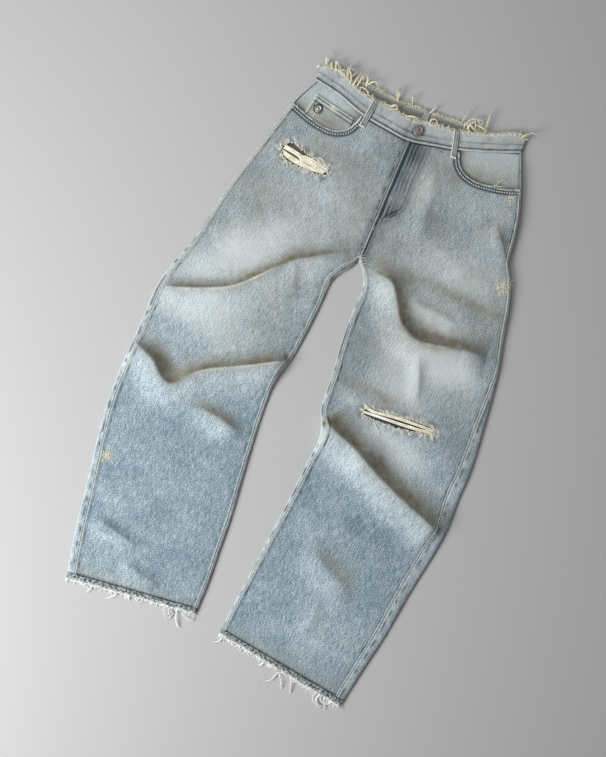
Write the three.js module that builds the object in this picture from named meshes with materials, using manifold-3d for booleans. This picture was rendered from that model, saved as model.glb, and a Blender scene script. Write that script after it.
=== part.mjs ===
// A pair of wide, frayed and ripped denim jeans lying flat, front up, with the legs a little apart.
// Millimetres. X runs to the wearer's left, Y up the body to the waist and Z up off the surface.
// Places are measured from the crotch. The finished group is moved at the end, so that its origin
// is under the middle of the garment.

import * as THREE from "three";
import Module from "manifold-3d";

// ---------------------------------------------------------------- driving dimensions

const CLOTH = 1.3;             // wall of the denim
const GAP = 0.3;               // between two pieces that are sewn or lie together
const LAYER = CLOTH + GAP;     // one piece lying on another
const HEM_WALL = 2.2;          // a hem is the cloth turned up on itself
const HEM_HEIGHT = 11;
const LOOP_WALL = 1.8;         // a belt loop is a folded strip
const LOOP_WIDTH = 11;
const FRAY_WALL = 1.4;
const WAIST_FRAY = 6;          // reach of the loose threads past the raw waist
const HEM_FRAY = 10;           // and past the hems
const HEM_FRAY_HEIGHT = 3;     // they lie on the surface
const FRAY_ROOT = 1;           // where the plain solid of the loose threads starts

// Height of the top face above the surface, away from the side folds.
const LEG_HEIGHT = 6.4;
const HIP_HEIGHT = 11;
const WAIST_HEIGHT = 8;
const SEAT_LIFT = LAYER;       // the seat rests on the back pockets and the back loops
const EDGE_SHARE = 0.45;       // height of a side fold's tip, as a share of the thickness there
const TOP_ROLL = 9;            // width over which the top face rolls down to a side fold
const UNDER_ROLL = 4;
const RIVET_PLACE = [-183.5, 234];
const BUTTON_PLACE = [5.6, 268];

const ROWS_PER_STATION = 3;
const FRONT_COLUMNS = 7;

// Each station is one line across a leg: the west end, the east end, and how far inside each
// end the seam between front and back lies. A zero is the centre seam, which is no side fold.
const RIGHT_LEG = {
  stations: [
    [-209, 282, -5.2, 243, 4, 0],
    [-231, 235, -5.2, 200, 4, 0],
    [-244, 190, -5.2, 155, 4, 0],
    [-257, 140, -5.2, 110, 4, 0],
    [-270, 90, -5.2, 65, 4, 0],
    [-283, 40, -5.2, 28, 4, 0],
    [-297, -30, -5.2, 3, 5, 2],
    [-304, -75, -13, -18, 6, 12],
    [-314, -105, -34, -50, 8, 8],
    [-326, -140, -37, -95, 9, 5],
    [-337, -190, -40, -150, 11, 5],
    [-338, -245, -47, -215, 11, 5],
    [-338, -300, -60, -270, 11, 5],
    [-340, -360, -59, -340, 11, 5],
    [-338, -420, -53, -405, 11, 5],
    [-330, -490, -46, -470, 12, 5],
    [-318, -560, -38, -540, 13, 5],
    [-307, -630, -34, -606, 14, 5],
    [-297, -690, -30, -670, 15, 5],
    [-281, -762, -30, -729, 15, 5],
  ],
  seat: [270, 205, 165, 125, 82, 40, 3],   // Y of the centre back seam at the first stations
  centre: "east",
};
const LEFT_LEG = {
  stations: [
    [-4.8, 243, 201, 305, 0, 3],
    [-4.8, 210, 215, 272, 0, 3],
    [-4.8, 172, 232, 230, 0, 3],
    [-4.8, 135, 246, 185, 0, 3],
    [-4.8, 100, 254, 140, 0, 3],
    [-4.8, 65, 259, 105, 0, 3],
    [-4.8, 33, 274, 78, 0, 3],
    [-4.8, 3, 290, 36, 2, 3],
    [10, -14, 304, -22, 4, 3.5],
    [23, -45, 321, -90, 6, 4.5],
    [23, -100, 328, -135, 7, 9],
    [26, -155, 335, -190, 8, 15],
    [33, -215, 341, -240, 8, 19],
    [38, -280, 345, -290, 8, 21],
    [56, -332, 344, -340, 8, 22],
    [53, -391, 346, -400, 8, 22],
    [49, -460, 340, -460, 8, 22],
    [42, -540, 327, -540, 7, 20],
    [35, -620, 315, -635, 6, 18],
    [29, -685, 302, -705, 6, 16],
    [25, -747, 288, -786, 6, 15],
  ],
  seat: [270, 205, 168, 132, 96, 62, 30, 3],
  centre: "west",
};
const YOKE_STATION = 1;        // the yoke seam crosses the seat at this station

// Edges that cross the whole width, as Y at X.
const FRONT_SEAM = heightAlong([
  [-211, 282], [-159, 272], [-100, 254], [-50, 247], [-5, 243], [41, 252], [88, 263], [130, 277], [201, 305],
]);
const FRONT_RAW_EDGE = heightAlong([
  [-211, 313], [-166, 317], [-127, 297], [-63, 290], [-23, 285], [20, 289], [91, 302], [140, 318], [186, 335], [201, 332],
]);
const BACK_SEAM = heightAlong([[-211, 282], [-5, 270], [201, 305]], THREE.LinearInterpolant);
const BACK_RAW_EDGE = heightAlong([
  [-211, 313], [-160, 312], [-104, 314], [-56, 309], [15, 311], [78, 315], [140, 318], [186, 333], [201, 332],
]);

// Folds are ridges. Each has its crest, its height, and how wide it is up the leg, where it is
// steep, and down the leg, where it runs out.
const FOLDS = [
  { crest: [[-318, -193], [-251, -166], [-194, -136], [-140, -79], [-76, -29], [-30, 2]], height: 15, up: 20, down: 50 },
  { crest: [[-330, -312], [-285, -326], [-234, -353], [-206, -320], [-124, -271], [-66, -240]], height: 15, up: 20, down: 46 },
  { crest: [[-206, -375], [-152, -373], [-78, -389]], height: 7, up: 18, down: 34 },
  { crest: [[-275, -636], [-232, -647], [-173, -656]], height: 8, up: 18, down: 34 },
  { crest: [[-202, -690], [-157, -700], [-111, -706]], height: 6, up: 16, down: 24 },
  { crest: [[20, -10], [65, -19], [115, -83], [157, -102], [236, -87]], height: 15, up: 20, down: 46 },
  { crest: [[164, -117], [187, -163], [200, -213]], height: 7, up: 24, down: 24 },
  { crest: [[62, -313], [113, -331], [162, -354], [229, -384], [325, -416]], height: 17, up: 20, down: 52 },
  { crest: [[76, -485], [195, -452]], height: 5, up: 24, down: 40 },
  { crest: [[128, -535], [226, -581]], height: 6, up: 24, down: 40 },
  { crest: [[207, 160], [231, 132], [248, 100]], height: 5, up: 16, down: 20 },
];
const FOLD_TAPER = 0.16;       // share of a fold's length over which it dies out at each end

const RIGHT_MOUTH = [[-229, 226], [-200, 216], [-173, 209], [-148, 207], [-130, 212], [-117, 222], [-108, 239], [-104, 252]];
const LEFT_MOUTH = [[93, 259], [105, 237], [122, 226], [144, 222], [170, 225], [196, 230], [225, 240]];
const HIP_RIP = [
  [-221, 141], [-205, 156], [-179, 150], [-152, 144], [-128, 138], [-120, 130],
  [-129, 121], [-149, 119], [-172, 120], [-196, 120], [-212, 126],
];
const KNEE_RIP = [
  [112, -255], [128, -242], [159, -235], [197, -230], [235, -231], [252, -238],
  [250, -249], [222, -255], [193, -261], [157, -264], [123, -264],
];

// ---------------------------------------------------------------- small maths

function heightAlong(points, Interpolant = THREE.CubicInterpolant) {
  const places = points.map((point) => point[0]);
  const heights = points.map((point) => point[1]);
  const curve = new Interpolant(places, heights, 1, new Float64Array(1));
  return (x) => curve.evaluate(x)[0];
}

function smoothCurve(points) {
  return new THREE.SplineCurve(points.map(([x, y]) => new THREE.Vector2(x, y)));
}

function mix(from, to, share) {
  return from + (to - from) * share;
}

function smooth(value, from, to) {
  return THREE.MathUtils.smoothstep(value, from, to);
}

// Nearest place on a polyline: its distance, on which side it lies, and how far along it is.
function nearestOn(line, x, y) {
  let best = { distance: Infinity, side: 1, share: 0 };
  for (let i = 0; i + 1 < line.length; i += 1) {
    const start = line[i];
    const run = [line[i + 1].x - start.x, line[i + 1].y - start.y];
    const away = [x - start.x, y - start.y];
    const reach = (away[0] * run[0] + away[1] * run[1]) / (run[0] ** 2 + run[1] ** 2);
    const share = THREE.MathUtils.clamp(reach, 0, 1);
    const distance = Math.hypot(away[0] - share * run[0], away[1] - share * run[1]);
    if (distance < best.distance) {
      const side = Math.sign(run[0] * away[1] - run[1] * away[0]) || 1;
      best = { distance, side, share: (i + share) / (line.length - 1) };
    }
  }
  return best;
}

// ---------------------------------------------------------------- the form of the garment

for (const leg of [RIGHT_LEG, LEFT_LEG]) {
  leg.last = leg.stations.length - 1;
  leg.crotch = leg.seat.length - 1;
  leg.west = smoothCurve(leg.stations.map((station) => [station[0], station[1]]));
  leg.east = smoothCurve(leg.stations.map((station) => [station[2], station[3]]));
  leg.westSeam = heightAlong(leg.stations.map((station, i) => [i, station[4]]));
  leg.eastSeam = heightAlong(leg.stations.map((station, i) => [i, station[5]]));
  leg.seatSeam = heightAlong(leg.seat.map((y, i) => [i, y]));
}

// A line across a leg at any station, with its two ends. The centre seam is straight.
function acrossLeg(leg, station) {
  const ends = { west: leg.west.getPoint(station / leg.last), east: leg.east.getPoint(station / leg.last) };
  if (station < leg.crotch) {
    ends[leg.centre].x = leg[leg.centre].points[0].x;
  }
  return ends;
}

// The same line on the seat, which rises higher at the centre back.
function acrossSeat(leg, station) {
  const ends = acrossLeg(leg, station);
  if (station < leg.crotch) {
    ends[leg.centre].y = leg.seatSeam(station);
  }
  return ends;
}

// A place on such a line. The first lines bend to meet the waistband.
function placeOn(leg, station, share, across, seam) {
  const ends = across(leg, station);
  const place = new THREE.Vector2().lerpVectors(ends.west, ends.east, share);
  const first = across(leg, 0);
  const firstX = mix(first.west.x, first.east.x, share);
  const bend = seam(firstX) - mix(first.west.y, first.east.y, share);
  place.y += bend * (1 - smooth(station, 0, 2));
  return place;
}

// The side folds, as lines that the rolled edges are measured from.
const SIDE_STEPS = 6;
function sideLine(leg, side, fromStation) {
  const line = [];
  for (let k = fromStation * SIDE_STEPS; k <= leg.last * SIDE_STEPS; k += 1) {
    line.push(leg[side].getPoint(k / SIDE_STEPS / leg.last));
  }
  return line;
}
const WAIST_WEST = new THREE.Vector2(-211, 313);
const WAIST_EAST = new THREE.Vector2(200, 333);
const PAST_HEM = new THREE.Vector2(0, -20);
const SIDE_LINES = [
  [WAIST_WEST, ...sideLine(RIGHT_LEG, "west", 0)],
  sideLine(RIGHT_LEG, "east", RIGHT_LEG.crotch),
  sideLine(LEFT_LEG, "west", LEFT_LEG.crotch),
  [WAIST_EAST, ...sideLine(LEFT_LEG, "east", 0)],
];
for (const line of SIDE_LINES) {
  line.push(line[line.length - 1].clone().add(PAST_HEM));
}
const FOLD_STEPS = 24;
for (const fold of FOLDS) {
  fold.line = smoothCurve(fold.crest).getPoints(FOLD_STEPS);
  fold.upSide = Math.sign(fold.line[FOLD_STEPS].x - fold.line[0].x);
}

function roll(distance, width) {
  const left = 1 - Math.min(distance, width) / width;
  return Math.sqrt(1 - left * left);
}

function edgeDistance(x, y) {
  return Math.min(...SIDE_LINES.map((line) => nearestOn(line, x, y).distance));
}

function foldRise(x, y) {
  let rise = 0;
  for (const fold of FOLDS) {
    const near = nearestOn(fold.line, x, y);
    const width = near.side === fold.upSide ? fold.up : fold.down;
    if (near.distance < width) {
      const ends = smooth(near.share, -0.02, FOLD_TAPER) * smooth(1.02 - near.share, 0, FOLD_TAPER);
      rise += fold.height * ends * 0.5 * (1 + Math.cos((Math.PI * near.distance) / width));
    }
  }
  return rise;
}

function thicknessAt(y) {
  const hips = mix(LEG_HEIGHT, HIP_HEIGHT, smooth(y, -80, 60));
  return hips - (HIP_HEIGHT - WAIST_HEIGHT) * smooth(y, 256, 300);
}

function liftAt(y) {
  return SEAT_LIFT * smooth(y, -50, 25);
}

function tipHeight(y) {
  return mix(liftAt(y), thicknessAt(y), EDGE_SHARE);
}

function topHeight(x, y) {
  const inside = roll(edgeDistance(x, y), TOP_ROLL);
  return mix(tipHeight(y), thicknessAt(y) + foldRise(x, y), inside);
}

function underHeight(x, y) {
  return mix(tipHeight(y), liftAt(y), roll(edgeDistance(x, y), UNDER_ROLL));
}

// The way out of the top face, clear of the rolled edges, so that two pieces that meet at a seam
// get their inner faces by the same rule.
const CLEAR_OF_TIP = 1.5;
function outOfTop({ x, y }) {
  const near = 0.5;
  const slopeX = (topHeight(x + near, y) - topHeight(x - near, y)) / (2 * near);
  const slopeY = (topHeight(x, y + near) - topHeight(x, y - near)) / (2 * near);
  return new THREE.Vector3(-slopeX, -slopeY, 1).normalize();
}

function onTop(place, depth = 0) {
  const point = new THREE.Vector3(place.x, place.y, topHeight(place.x, place.y) - depth);
  if (edgeDistance(place.x, place.y) > CLEAR_OF_TIP) {
    point.outward = outOfTop(place);
  }
  return point;
}

const onUnder = (place) => new THREE.Vector3(place.x, place.y, underHeight(place.x, place.y));
const onTip = (place) => new THREE.Vector3(place.x, place.y, tipHeight(place.y));

// ---------------------------------------------------------------- solids from cloth

// A wall of cloth from a grid of points on its outer face. Rows run down the garment and columns
// to the east where the face looks up. A null leaves the grid open there.
function clothWall(grid, wall, isRing = false) {
  const rows = grid.length;
  const columns = grid[0].length;
  const at = (i, j) => {
    const column = isRing ? (j + columns) % columns : j;
    return grid[i] ? grid[i][column] ?? null : null;
  };
  const outer = [];
  const inner = [];
  const ids = grid.map((row) => row.map(() => -1));
  grid.forEach((row, i) => row.forEach((point, j) => {
    if (!point) {
      return;
    }
    const down = new THREE.Vector3().subVectors(at(i + 1, j) ?? point, at(i - 1, j) ?? point);
    const across = new THREE.Vector3().subVectors(at(i, j + 1) ?? point, at(i, j - 1) ?? point);
    const outward = point.outward ?? down.cross(across).normalize();
    ids[i][j] = outer.length;
    outer.push(point);
    inner.push(point.clone().addScaledVector(outward, -wall));
  }));
  const faces = [];
  const edges = new Map();
  const lastColumn = isRing ? columns : columns - 1;
  for (let i = 0; i + 1 < rows; i += 1) {
    for (let j = 0; j < lastColumn; j += 1) {
      const next = (j + 1) % columns;
      const corners = [ids[i][j], ids[i + 1][j], ids[i + 1][next], ids[i][next]];
      if (corners.includes(-1)) {
        continue;
      }
      const [a, b, c, d] = corners;
      faces.push([a, b, c], [a, c, d]);
      for (const [from, to] of [[a, b], [b, c], [c, d], [d, a]]) {
        edges.set(`${from},${to}`, [from, to]);
      }
    }
  }
  const count = outer.length;
  const walls = [];
  for (const [from, to] of edges.values()) {
    if (!edges.has(`${to},${from}`)) {
      walls.push([to, from, from + count], [to, from + count, to + count]);
    }
  }
  const turned = faces.map(([a, b, c]) => [a + count, c + count, b + count]);
  return meshGeometry([...outer, ...inner], [...faces, ...turned, ...walls]);
}

function meshGeometry(points, faces) {
  const geometry = new THREE.BufferGeometry();
  geometry.setAttribute("position", new THREE.Float32BufferAttribute(points.flatMap((point) => point.toArray()), 3));
  geometry.setIndex(faces.flat());
  return geometry;
}

// A grid over a four-cornered patch: north-west, north-east, south-east, south-west.
function patchGrid(corners, rows, columns, pointAt) {
  const [nw, ne, se, sw] = corners.map(([x, y]) => new THREE.Vector2(x, y));
  const grid = [];
  for (let i = 0; i <= rows; i += 1) {
    const west = new THREE.Vector2().lerpVectors(nw, sw, i / rows);
    const east = new THREE.Vector2().lerpVectors(ne, se, i / rows);
    const row = [];
    for (let j = 0; j <= columns; j += 1) {
      row.push(pointAt(new THREE.Vector2().lerpVectors(west, east, j / columns)));
    }
    grid.push(row);
  }
  return grid;
}

const CUT_LOW = -5;
const CUT_HIGH = 45;
const SAME_POINT = 1e-4;

const wasm = await Module();
wasm.setup();

function toSolid(geometry) {
  const spots = geometry.getAttribute("position");
  const order = geometry.getIndex() ? [...geometry.getIndex().array] : [...Array(spots.count).keys()];
  const merged = new Map();
  const vertices = [];
  const triangles = order.map((k) => {
    const point = [spots.getX(k), spots.getY(k), spots.getZ(k)];
    const key = point.map((value) => Math.round(value / SAME_POINT)).join();
    if (!merged.has(key)) {
      merged.set(key, merged.size);
      vertices.push(...point);
    }
    return merged.get(key);
  });
  const mesh = { numProp: 3, vertProperties: new Float32Array(vertices), triVerts: new Uint32Array(triangles) };
  return new wasm.Manifold(new wasm.Mesh(mesh));
}

function toGeometry(solid) {
  const mesh = solid.getMesh();
  const geometry = new THREE.BufferGeometry();
  geometry.setAttribute("position", new THREE.BufferAttribute(new Float32Array(mesh.vertProperties), 3));
  geometry.setIndex(new THREE.BufferAttribute(new Uint32Array(mesh.triVerts), 1));
  return geometry;
}

// An upright cutter with this outline, through everything.
function cutter(outline) {
  const shape = new THREE.Shape(outline.map(([x, y]) => new THREE.Vector2(x, y)));
  const body = new THREE.ExtrudeGeometry(shape, { depth: CUT_HIGH - CUT_LOW, bevelEnabled: false });
  body.translate(0, 0, CUT_LOW);
  return toSolid(body);
}

function roundOutline([x, y], radius, sides = 12) {
  return Array.from({ length: sides }, (_, k) => {
    const turn = (k * 2 * Math.PI) / sides;
    return [x + radius * Math.cos(turn), y + radius * Math.sin(turn)];
  });
}

function cut(geometry, outlines) {
  const solid = outlines.reduce((body, outline) => body.subtract(cutter(outline)), toSolid(geometry));
  return toGeometry(solid);
}

// ---------------------------------------------------------------- panels

const LINES_APART = 50;
const STATION_GAP = GAP / 2 / LINES_APART;   // half a seam's gap, in stations
const LAST_LINES_APART = 48;    // the curve through the stations slows down at its end
const HEM_STATIONS = HEM_HEIGHT / LAST_LINES_APART;

function stationsBetween(from, to) {
  const first = Math.ceil(from * ROWS_PER_STATION + 0.5);
  const last = Math.floor(to * ROWS_PER_STATION - 0.5);
  const inside = Array.from({ length: last - first + 1 }, (_, k) => (first + k) / ROWS_PER_STATION);
  return [from, ...inside, to];
}

// Where a front panel's columns lie on a line across the leg, as shares of it.
function frontShares(leg, station) {
  const ends = acrossLeg(leg, station);
  const width = ends.west.distanceTo(ends.east);
  const from = seamInset(leg, "west", station, GAP / 2) / width;
  const to = 1 - seamInset(leg, "east", station, GAP / 2) / width;
  return Array.from({ length: FRONT_COLUMNS + 1 }, (_, k) => mix(from, to, k / FRONT_COLUMNS));
}

function frontPanel(leg) {
  const stations = stationsBetween(STATION_GAP, leg.last - HEM_STATIONS - STATION_GAP);
  const grid = stations.map((station) => frontShares(leg, station).map((share) => (
    onTop(placeOn(leg, station, share, acrossLeg, FRONT_SEAM)))));
  return clothWall(grid, CLOTH);
}

// How far inside a side fold a seam lies, plus a gap; on the centre seam, which has none, zero.
function seamInset(leg, side, station, gap) {
  if (leg.centre === side && station < leg.crotch) {
    return 0;
  }
  return Math.max(leg[`${side}Seam`](station), 1) + gap;
}

// A back panel goes from the seam on top, round one side fold, under, and round the other.
const STRIP_SHARES = [1, 0.35];
function backPanel(leg, fromStation, toStation) {
  const grid = stationsBetween(fromStation, toStation).map((station) => {
    const strip = (side) => stripPoints(leg, side, station);
    const tip = (side) => tipPoint(leg, side, station);
    const under = underPoints(leg, station);
    return [...strip("east"), tip("east"), ...under, tip("west"), ...strip("west").reverse()];
  });
  return clothWall(grid, CLOTH);
}

function isOpenCentre(leg, side, station) {
  return leg.centre === side && station < leg.crotch;
}

function stripPoints(leg, side, station) {
  if (isOpenCentre(leg, side, station)) {
    return STRIP_SHARES.map(() => null);
  }
  const ends = acrossLeg(leg, station);
  const width = ends.west.distanceTo(ends.east);
  const inset = seamInset(leg, side, station, -GAP / 2) / width;
  return STRIP_SHARES.map((share) => {
    const place = side === "west" ? inset * share : 1 - inset * share;
    return onTop(placeOn(leg, station, place, acrossLeg, FRONT_SEAM));
  });
}

function tipPoint(leg, side, station) {
  if (isOpenCentre(leg, side, station)) {
    return null;
  }
  return onTip(placeOn(leg, station, side === "west" ? 0 : 1, acrossLeg, FRONT_SEAM));
}

function underPoints(leg, station) {
  const ends = acrossSeat(leg, station);
  const width = ends.west.distanceTo(ends.east);
  const east = isOpenCentre(leg, "east", station) ? 0 : UNDER_ROLL / width;
  const west = isOpenCentre(leg, "west", station) ? 0 : UNDER_ROLL / width;
  const shares = [1 - east, west];
  return shares.map((share) => onUnder(placeOn(leg, station, share, acrossSeat, BACK_SEAM)));
}

// A hem is a ring of doubled cloth.
function hemRing(leg) {
  const grid = [leg.last - HEM_STATIONS + STATION_GAP, leg.last].map((station) => {
    const ends = acrossLeg(leg, station);
    const width = ends.west.distanceTo(ends.east);
    const place = (share) => placeOn(leg, station, share, acrossLeg, FRONT_SEAM);
    const top = [2 / width, ...frontShares(leg, station), 1 - 2 / width];
    const under = [1 - UNDER_ROLL / width, 0.5, UNDER_ROLL / width];
    return [
      onTip(place(0)), ...top.map((share) => onTop(place(share))),
      onTip(place(1)), ...under.map((share) => onUnder(place(share))),
    ];
  });
  return clothWall(grid, HEM_WALL, true);
}

// ---------------------------------------------------------------- waistband and loops

const BAND_ROWS = [0, 1];
const BAND_END_LEFT = -10;     // the left end lies over the right end
const BAND_END_RIGHT = 28;
const BAND_STEP = 26;
const BAND_TURN = 1.6;         // where the band starts to turn over at a side
const BUTTONHOLE = [[-3, 265.2], [14.5, 265.2], [14.5, 270.8], [-3, 270.8]];

function bandColumn(x, rawEdge, seam, pointAt, gap = GAP) {
  return BAND_ROWS.map((share) => pointAt(new THREE.Vector2(x, mix(rawEdge(x), seam(x) + gap, share))));
}

function evenly(from, to, step) {
  const count = Math.max(1, Math.round(Math.abs(to - from) / step));
  return Array.from({ length: count + 1 }, (_, k) => mix(from, to, k / count));
}

function waistband() {
  const west = (share) => mix(WAIST_WEST.x, RIGHT_LEG.stations[0][0], share);
  const east = (share) => mix(WAIST_EAST.x, LEFT_LEG.stations[0][2], share);
  const over = (x, drop, gap) => bandColumn(x, FRONT_RAW_EDGE, FRONT_SEAM, (place) => onTop(place, drop), gap);
  const under = (x) => bandColumn(x, BACK_RAW_EDGE, BACK_SEAM, onUnder);
  const tip = (side) => BAND_ROWS.map((share) => {
    const x = side(share);
    return onTip(new THREE.Vector2(x, mix(FRONT_RAW_EDGE(x), FRONT_SEAM(x) + GAP, share)));
  });
  const seamPlaces = (leg) => frontShares(leg, 0).map((share) => placeOn(leg, 0, share, acrossLeg, FRONT_SEAM).x);
  const columns = [
    over(BAND_END_LEFT, 0, 2 * GAP),
    ...seamPlaces(LEFT_LEG).map((x) => over(x, 0)),
    over(east(0) - BAND_TURN, 0),
    tip(east),
    ...evenly(east(0) - UNDER_ROLL, west(0) + UNDER_ROLL, BAND_STEP).map(under),
    tip(west),
    over(west(0) + BAND_TURN, 0),
    ...seamPlaces(RIGHT_LEG).map((x, k) => over(x, k < FRONT_COLUMNS ? 0 : LAYER)),
    ...evenly(BAND_END_RIGHT - 18, BAND_END_RIGHT, 18).map((x) => over(x, LAYER)),
  ];
  const grid = BAND_ROWS.map((_, row) => columns.map((column) => column[row]));
  return cut(clothWall(grid, CLOTH), [BUTTONHOLE]);
}

// A belt loop lies over the band and the seam, a little slack in the middle.
const LOOP_SLACK = 1;
function frontLoop(top, bottom) {
  const half = LOOP_WIDTH / 2;
  const corners = [[top[0] - half, top[1]], [top[0] + half, top[1]], [bottom[0] + half, bottom[1]], [bottom[0] - half, bottom[1]]];
  const rows = 6;
  const grid = patchGrid(corners, rows, 1, (place) => onTop(place, -GAP - LOOP_WALL));
  grid.forEach((row, i) => row.forEach((point) => {
    point.z += LOOP_SLACK * Math.sin((Math.PI * i) / rows);
  }));
  return clothWall(grid, LOOP_WALL);
}

const BACK_LOOP_LENGTH = 60;
function backLoop(x) {
  const top = BACK_RAW_EDGE(x) - 1;
  const half = LOOP_WIDTH / 2;
  const low = top - BACK_LOOP_LENGTH;
  const corners = [[x - half, top], [x + half, top], [x + half, low], [x - half, low]];
  return clothWall(patchGrid(corners, 1, 1, (place) => new THREE.Vector3(place.x, place.y, CLOTH)), CLOTH);
}

// The centre back loop is turned in over the raw edge, and its end shows inside.
function centreBackLoop(x) {
  const edge = BACK_RAW_EDGE(x);
  const inside = SEAT_LIFT + CLOTH + GAP + CLOTH;
  const side = [
    [edge - 22, inside], [edge + 1.5, inside], [edge + 3, inside / 2],
    [edge + 1.5, 0], [edge - BACK_LOOP_LENGTH, 0],
  ];
  const half = LOOP_WIDTH / 2;
  const grid = side.map(([y, z]) => [new THREE.Vector3(x + half, y, z), new THREE.Vector3(x - half, y, z)]);
  return clothWall(grid, CLOTH);
}

// ---------------------------------------------------------------- pockets, fly and metal

const COIN_DEPTH = LAYER;                  // the coin pocket lies one layer under the front
const RIGHT_FACING_DEPTH = 2 * LAYER;      // and its facing one more
const LEFT_FACING_DEPTH = LAYER + 0.5;
const BAG_DEPTH = 6.1;
const RIGHT_FACING = [[-203.5, 286], [-88, 257], [-84, 185], [-238, 196]];
const LEFT_FACING = [[84, 266], [197.5, 303], [236, 205], [92, 195]];
const RIGHT_BAG = [[-213, 222], [-100, 222], [-100, 95], [-235, 95]];
const LEFT_BAG = [[100, 222], [214, 222], [232, 95], [100, 95]];
const COIN_POCKET = [[-196, 259], [-114, 243], [-118, 190], [-208, 203]];
const ZIP_TAPE = [[-20, 238], [22, 238], [14, 95], [-18, 95]];
const ZIP_SLIDER = [9, 14, 2.8];           // under the tape, at its closed end
const ZIP_SLIDER_PLACE = [-5, 226, HIP_HEIGHT - 2 * LAYER - GAP - ZIP_SLIDER[2] / 2];
const BACK_POCKET = [[-73, 0], [73, 0], [64, -128], [0, -155], [-64, -128]];
const BACK_POCKET_PLACE = [98, 195];       // the middle of its mouth

function sheetUnder(corners, depth, rows, columns) {
  return clothWall(patchGrid(corners, rows, columns, (place) => onTop(place, depth)), CLOTH);
}

function backPocket(side) {
  const [fromMiddle, mouth] = BACK_POCKET_PLACE;
  const shape = new THREE.Shape(BACK_POCKET.map(([x, y]) => new THREE.Vector2(side * fromMiddle + x, mouth + y)));
  return new THREE.ExtrudeGeometry(shape, { depth: CLOTH, bevelEnabled: false });
}

// Turned metal: a profile of radius and height, from the axis round to the axis.
function turned(profile, sides) {
  return new THREE.LatheGeometry(profile.map(([radius, height]) => new THREE.Vector2(radius, height)), sides)
    .rotateX(Math.PI / 2);
}

// The rivet holds the coin pocket to the facing; its burr is below them.
const RIVET_POST = 1.8;
const RIVET_HOLE = roundOutline(RIVET_PLACE, RIVET_POST + GAP);
function coinRivet() {
  const head = -COIN_DEPTH + GAP;
  const burr = -RIGHT_FACING_DEPTH - CLOTH - GAP;
  const profile = [
    [0, burr - 1], [3.5, burr - 1], [3.5, burr], [RIVET_POST, burr],
    [RIVET_POST, head], [6.2, head], [6.4, head + 0.7], [4.8, head + 1.3], [0, head + 1.2],
  ];
  return turned(profile, 16);
}

// The button's shank goes through the buttonhole and the right end, to its tack.
const SHANK = 2.2;
function waistButton() {
  const disc = 0.8;
  const tack = -LAYER - CLOTH - 1;
  const profile = [
    [0, tack - 1], [4.5, tack - 1], [4.5, tack], [SHANK, tack],
    [SHANK, disc], [8.2, disc], [8.9, disc + 0.8], [8.2, disc + 1.8], [0, disc + 1.9],
  ];
  return turned(profile, 18);
}

// ---------------------------------------------------------------- frayed edges and threads

function waistFray(fromX, toX, rawEdge, height) {
  const xs = evenly(fromX, toX, BAND_STEP);
  const grid = [WAIST_FRAY, FRAY_ROOT].map((reach) => xs.map((x) => new THREE.Vector3(x, rawEdge(x) + reach, height)));
  return clothWall(grid, FRAY_WALL);
}

function hemFray(leg) {
  const shares = frontShares(leg, leg.last);
  const grid = [FRAY_ROOT, HEM_FRAY].map((reach) => shares.map((share) => {
    const place = placeOn(leg, leg.last, share, acrossLeg, FRONT_SEAM);
    return new THREE.Vector3(place.x, place.y - reach, HEM_FRAY_HEIGHT);
  }));
  return clothWall(grid, HEM_FRAY_HEIGHT);
}

const THREAD_WALL = 1;
const THREAD_SHARE = 0.92;     // the threads' plate is this much smaller than the rip
function ripThreads(outline, corners) {
  const centre = outline.reduce((sum, [x, y]) => [sum[0] + x / outline.length, sum[1] + y / outline.length], [0, 0]);
  const inside = outline.map(([x, y]) => [mix(centre[0], x, THREAD_SHARE), mix(centre[1], y, THREAD_SHARE)]);
  const plate = clothWall(patchGrid(corners, 3, 6, (place) => onTop(place, GAP)), THREAD_WALL);
  return toGeometry(toSolid(plate).intersect(cutter(inside)));
}

// ---------------------------------------------------------------- the scene graph

function cloth(colour) {
  return new THREE.MeshStandardMaterial({ color: colour, roughness: 0.95, metalness: 0 });
}
const DENIM = cloth("#a3b1b8");
const DARK_DENIM = cloth("#7f8d97");
const INSIDE_DENIM = cloth("#8f9aa2");
const WHITE_THREAD = cloth("#ece9d8");
const POCKETING = cloth("#d9d5c8");
const GREY_BRASS = new THREE.MeshStandardMaterial({ color: "#a39b93", roughness: 0.4, metalness: 1 });
const SILVER_RIVET = new THREE.MeshStandardMaterial({ color: "#c9b9b4", roughness: 0.35, metalness: 1 });

const jeans = new THREE.Group();
function add(name, geometry, material) {
  const mesh = new THREE.Mesh(geometry, material);
  mesh.name = name;
  jeans.add(mesh);
  return mesh;
}

const aroundRightMouth = [[-240, 227], ...RIGHT_MOUTH, [-98, 266], [-150, 300], [-240, 300]];
const aroundLeftMouth = [[88, 272], ...LEFT_MOUTH, [245, 246], [230, 330], [120, 310]];
add("front_right", cut(frontPanel(RIGHT_LEG), [aroundRightMouth, HIP_RIP]), DENIM);
add("front_left", cut(frontPanel(LEFT_LEG), [aroundLeftMouth, KNEE_RIP]), DENIM);
for (const [leg, side] of [[RIGHT_LEG, "right"], [LEFT_LEG, "left"]]) {
  add(`yoke_${side}`, backPanel(leg, STATION_GAP, YOKE_STATION - STATION_GAP), DENIM);
  add(`back_${side}`, backPanel(leg, YOKE_STATION + STATION_GAP, leg.last - HEM_STATIONS - STATION_GAP), DENIM);
  add(`hem_${side}`, hemRing(leg), DARK_DENIM);
  add(`fray_hem_${side}`, hemFray(leg), WHITE_THREAD);
}
add("waistband", waistband(), DENIM);
add("loop_front_right", frontLoop([-89, 292], [-95, 233]), DARK_DENIM);
add("loop_front_left", frontLoop([72.5, 297], [86, 245]), DARK_DENIM);
add("loop_back_centre", centreBackLoop(9), DARK_DENIM);
add("loop_back_right", backLoop(-125), DARK_DENIM);
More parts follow.
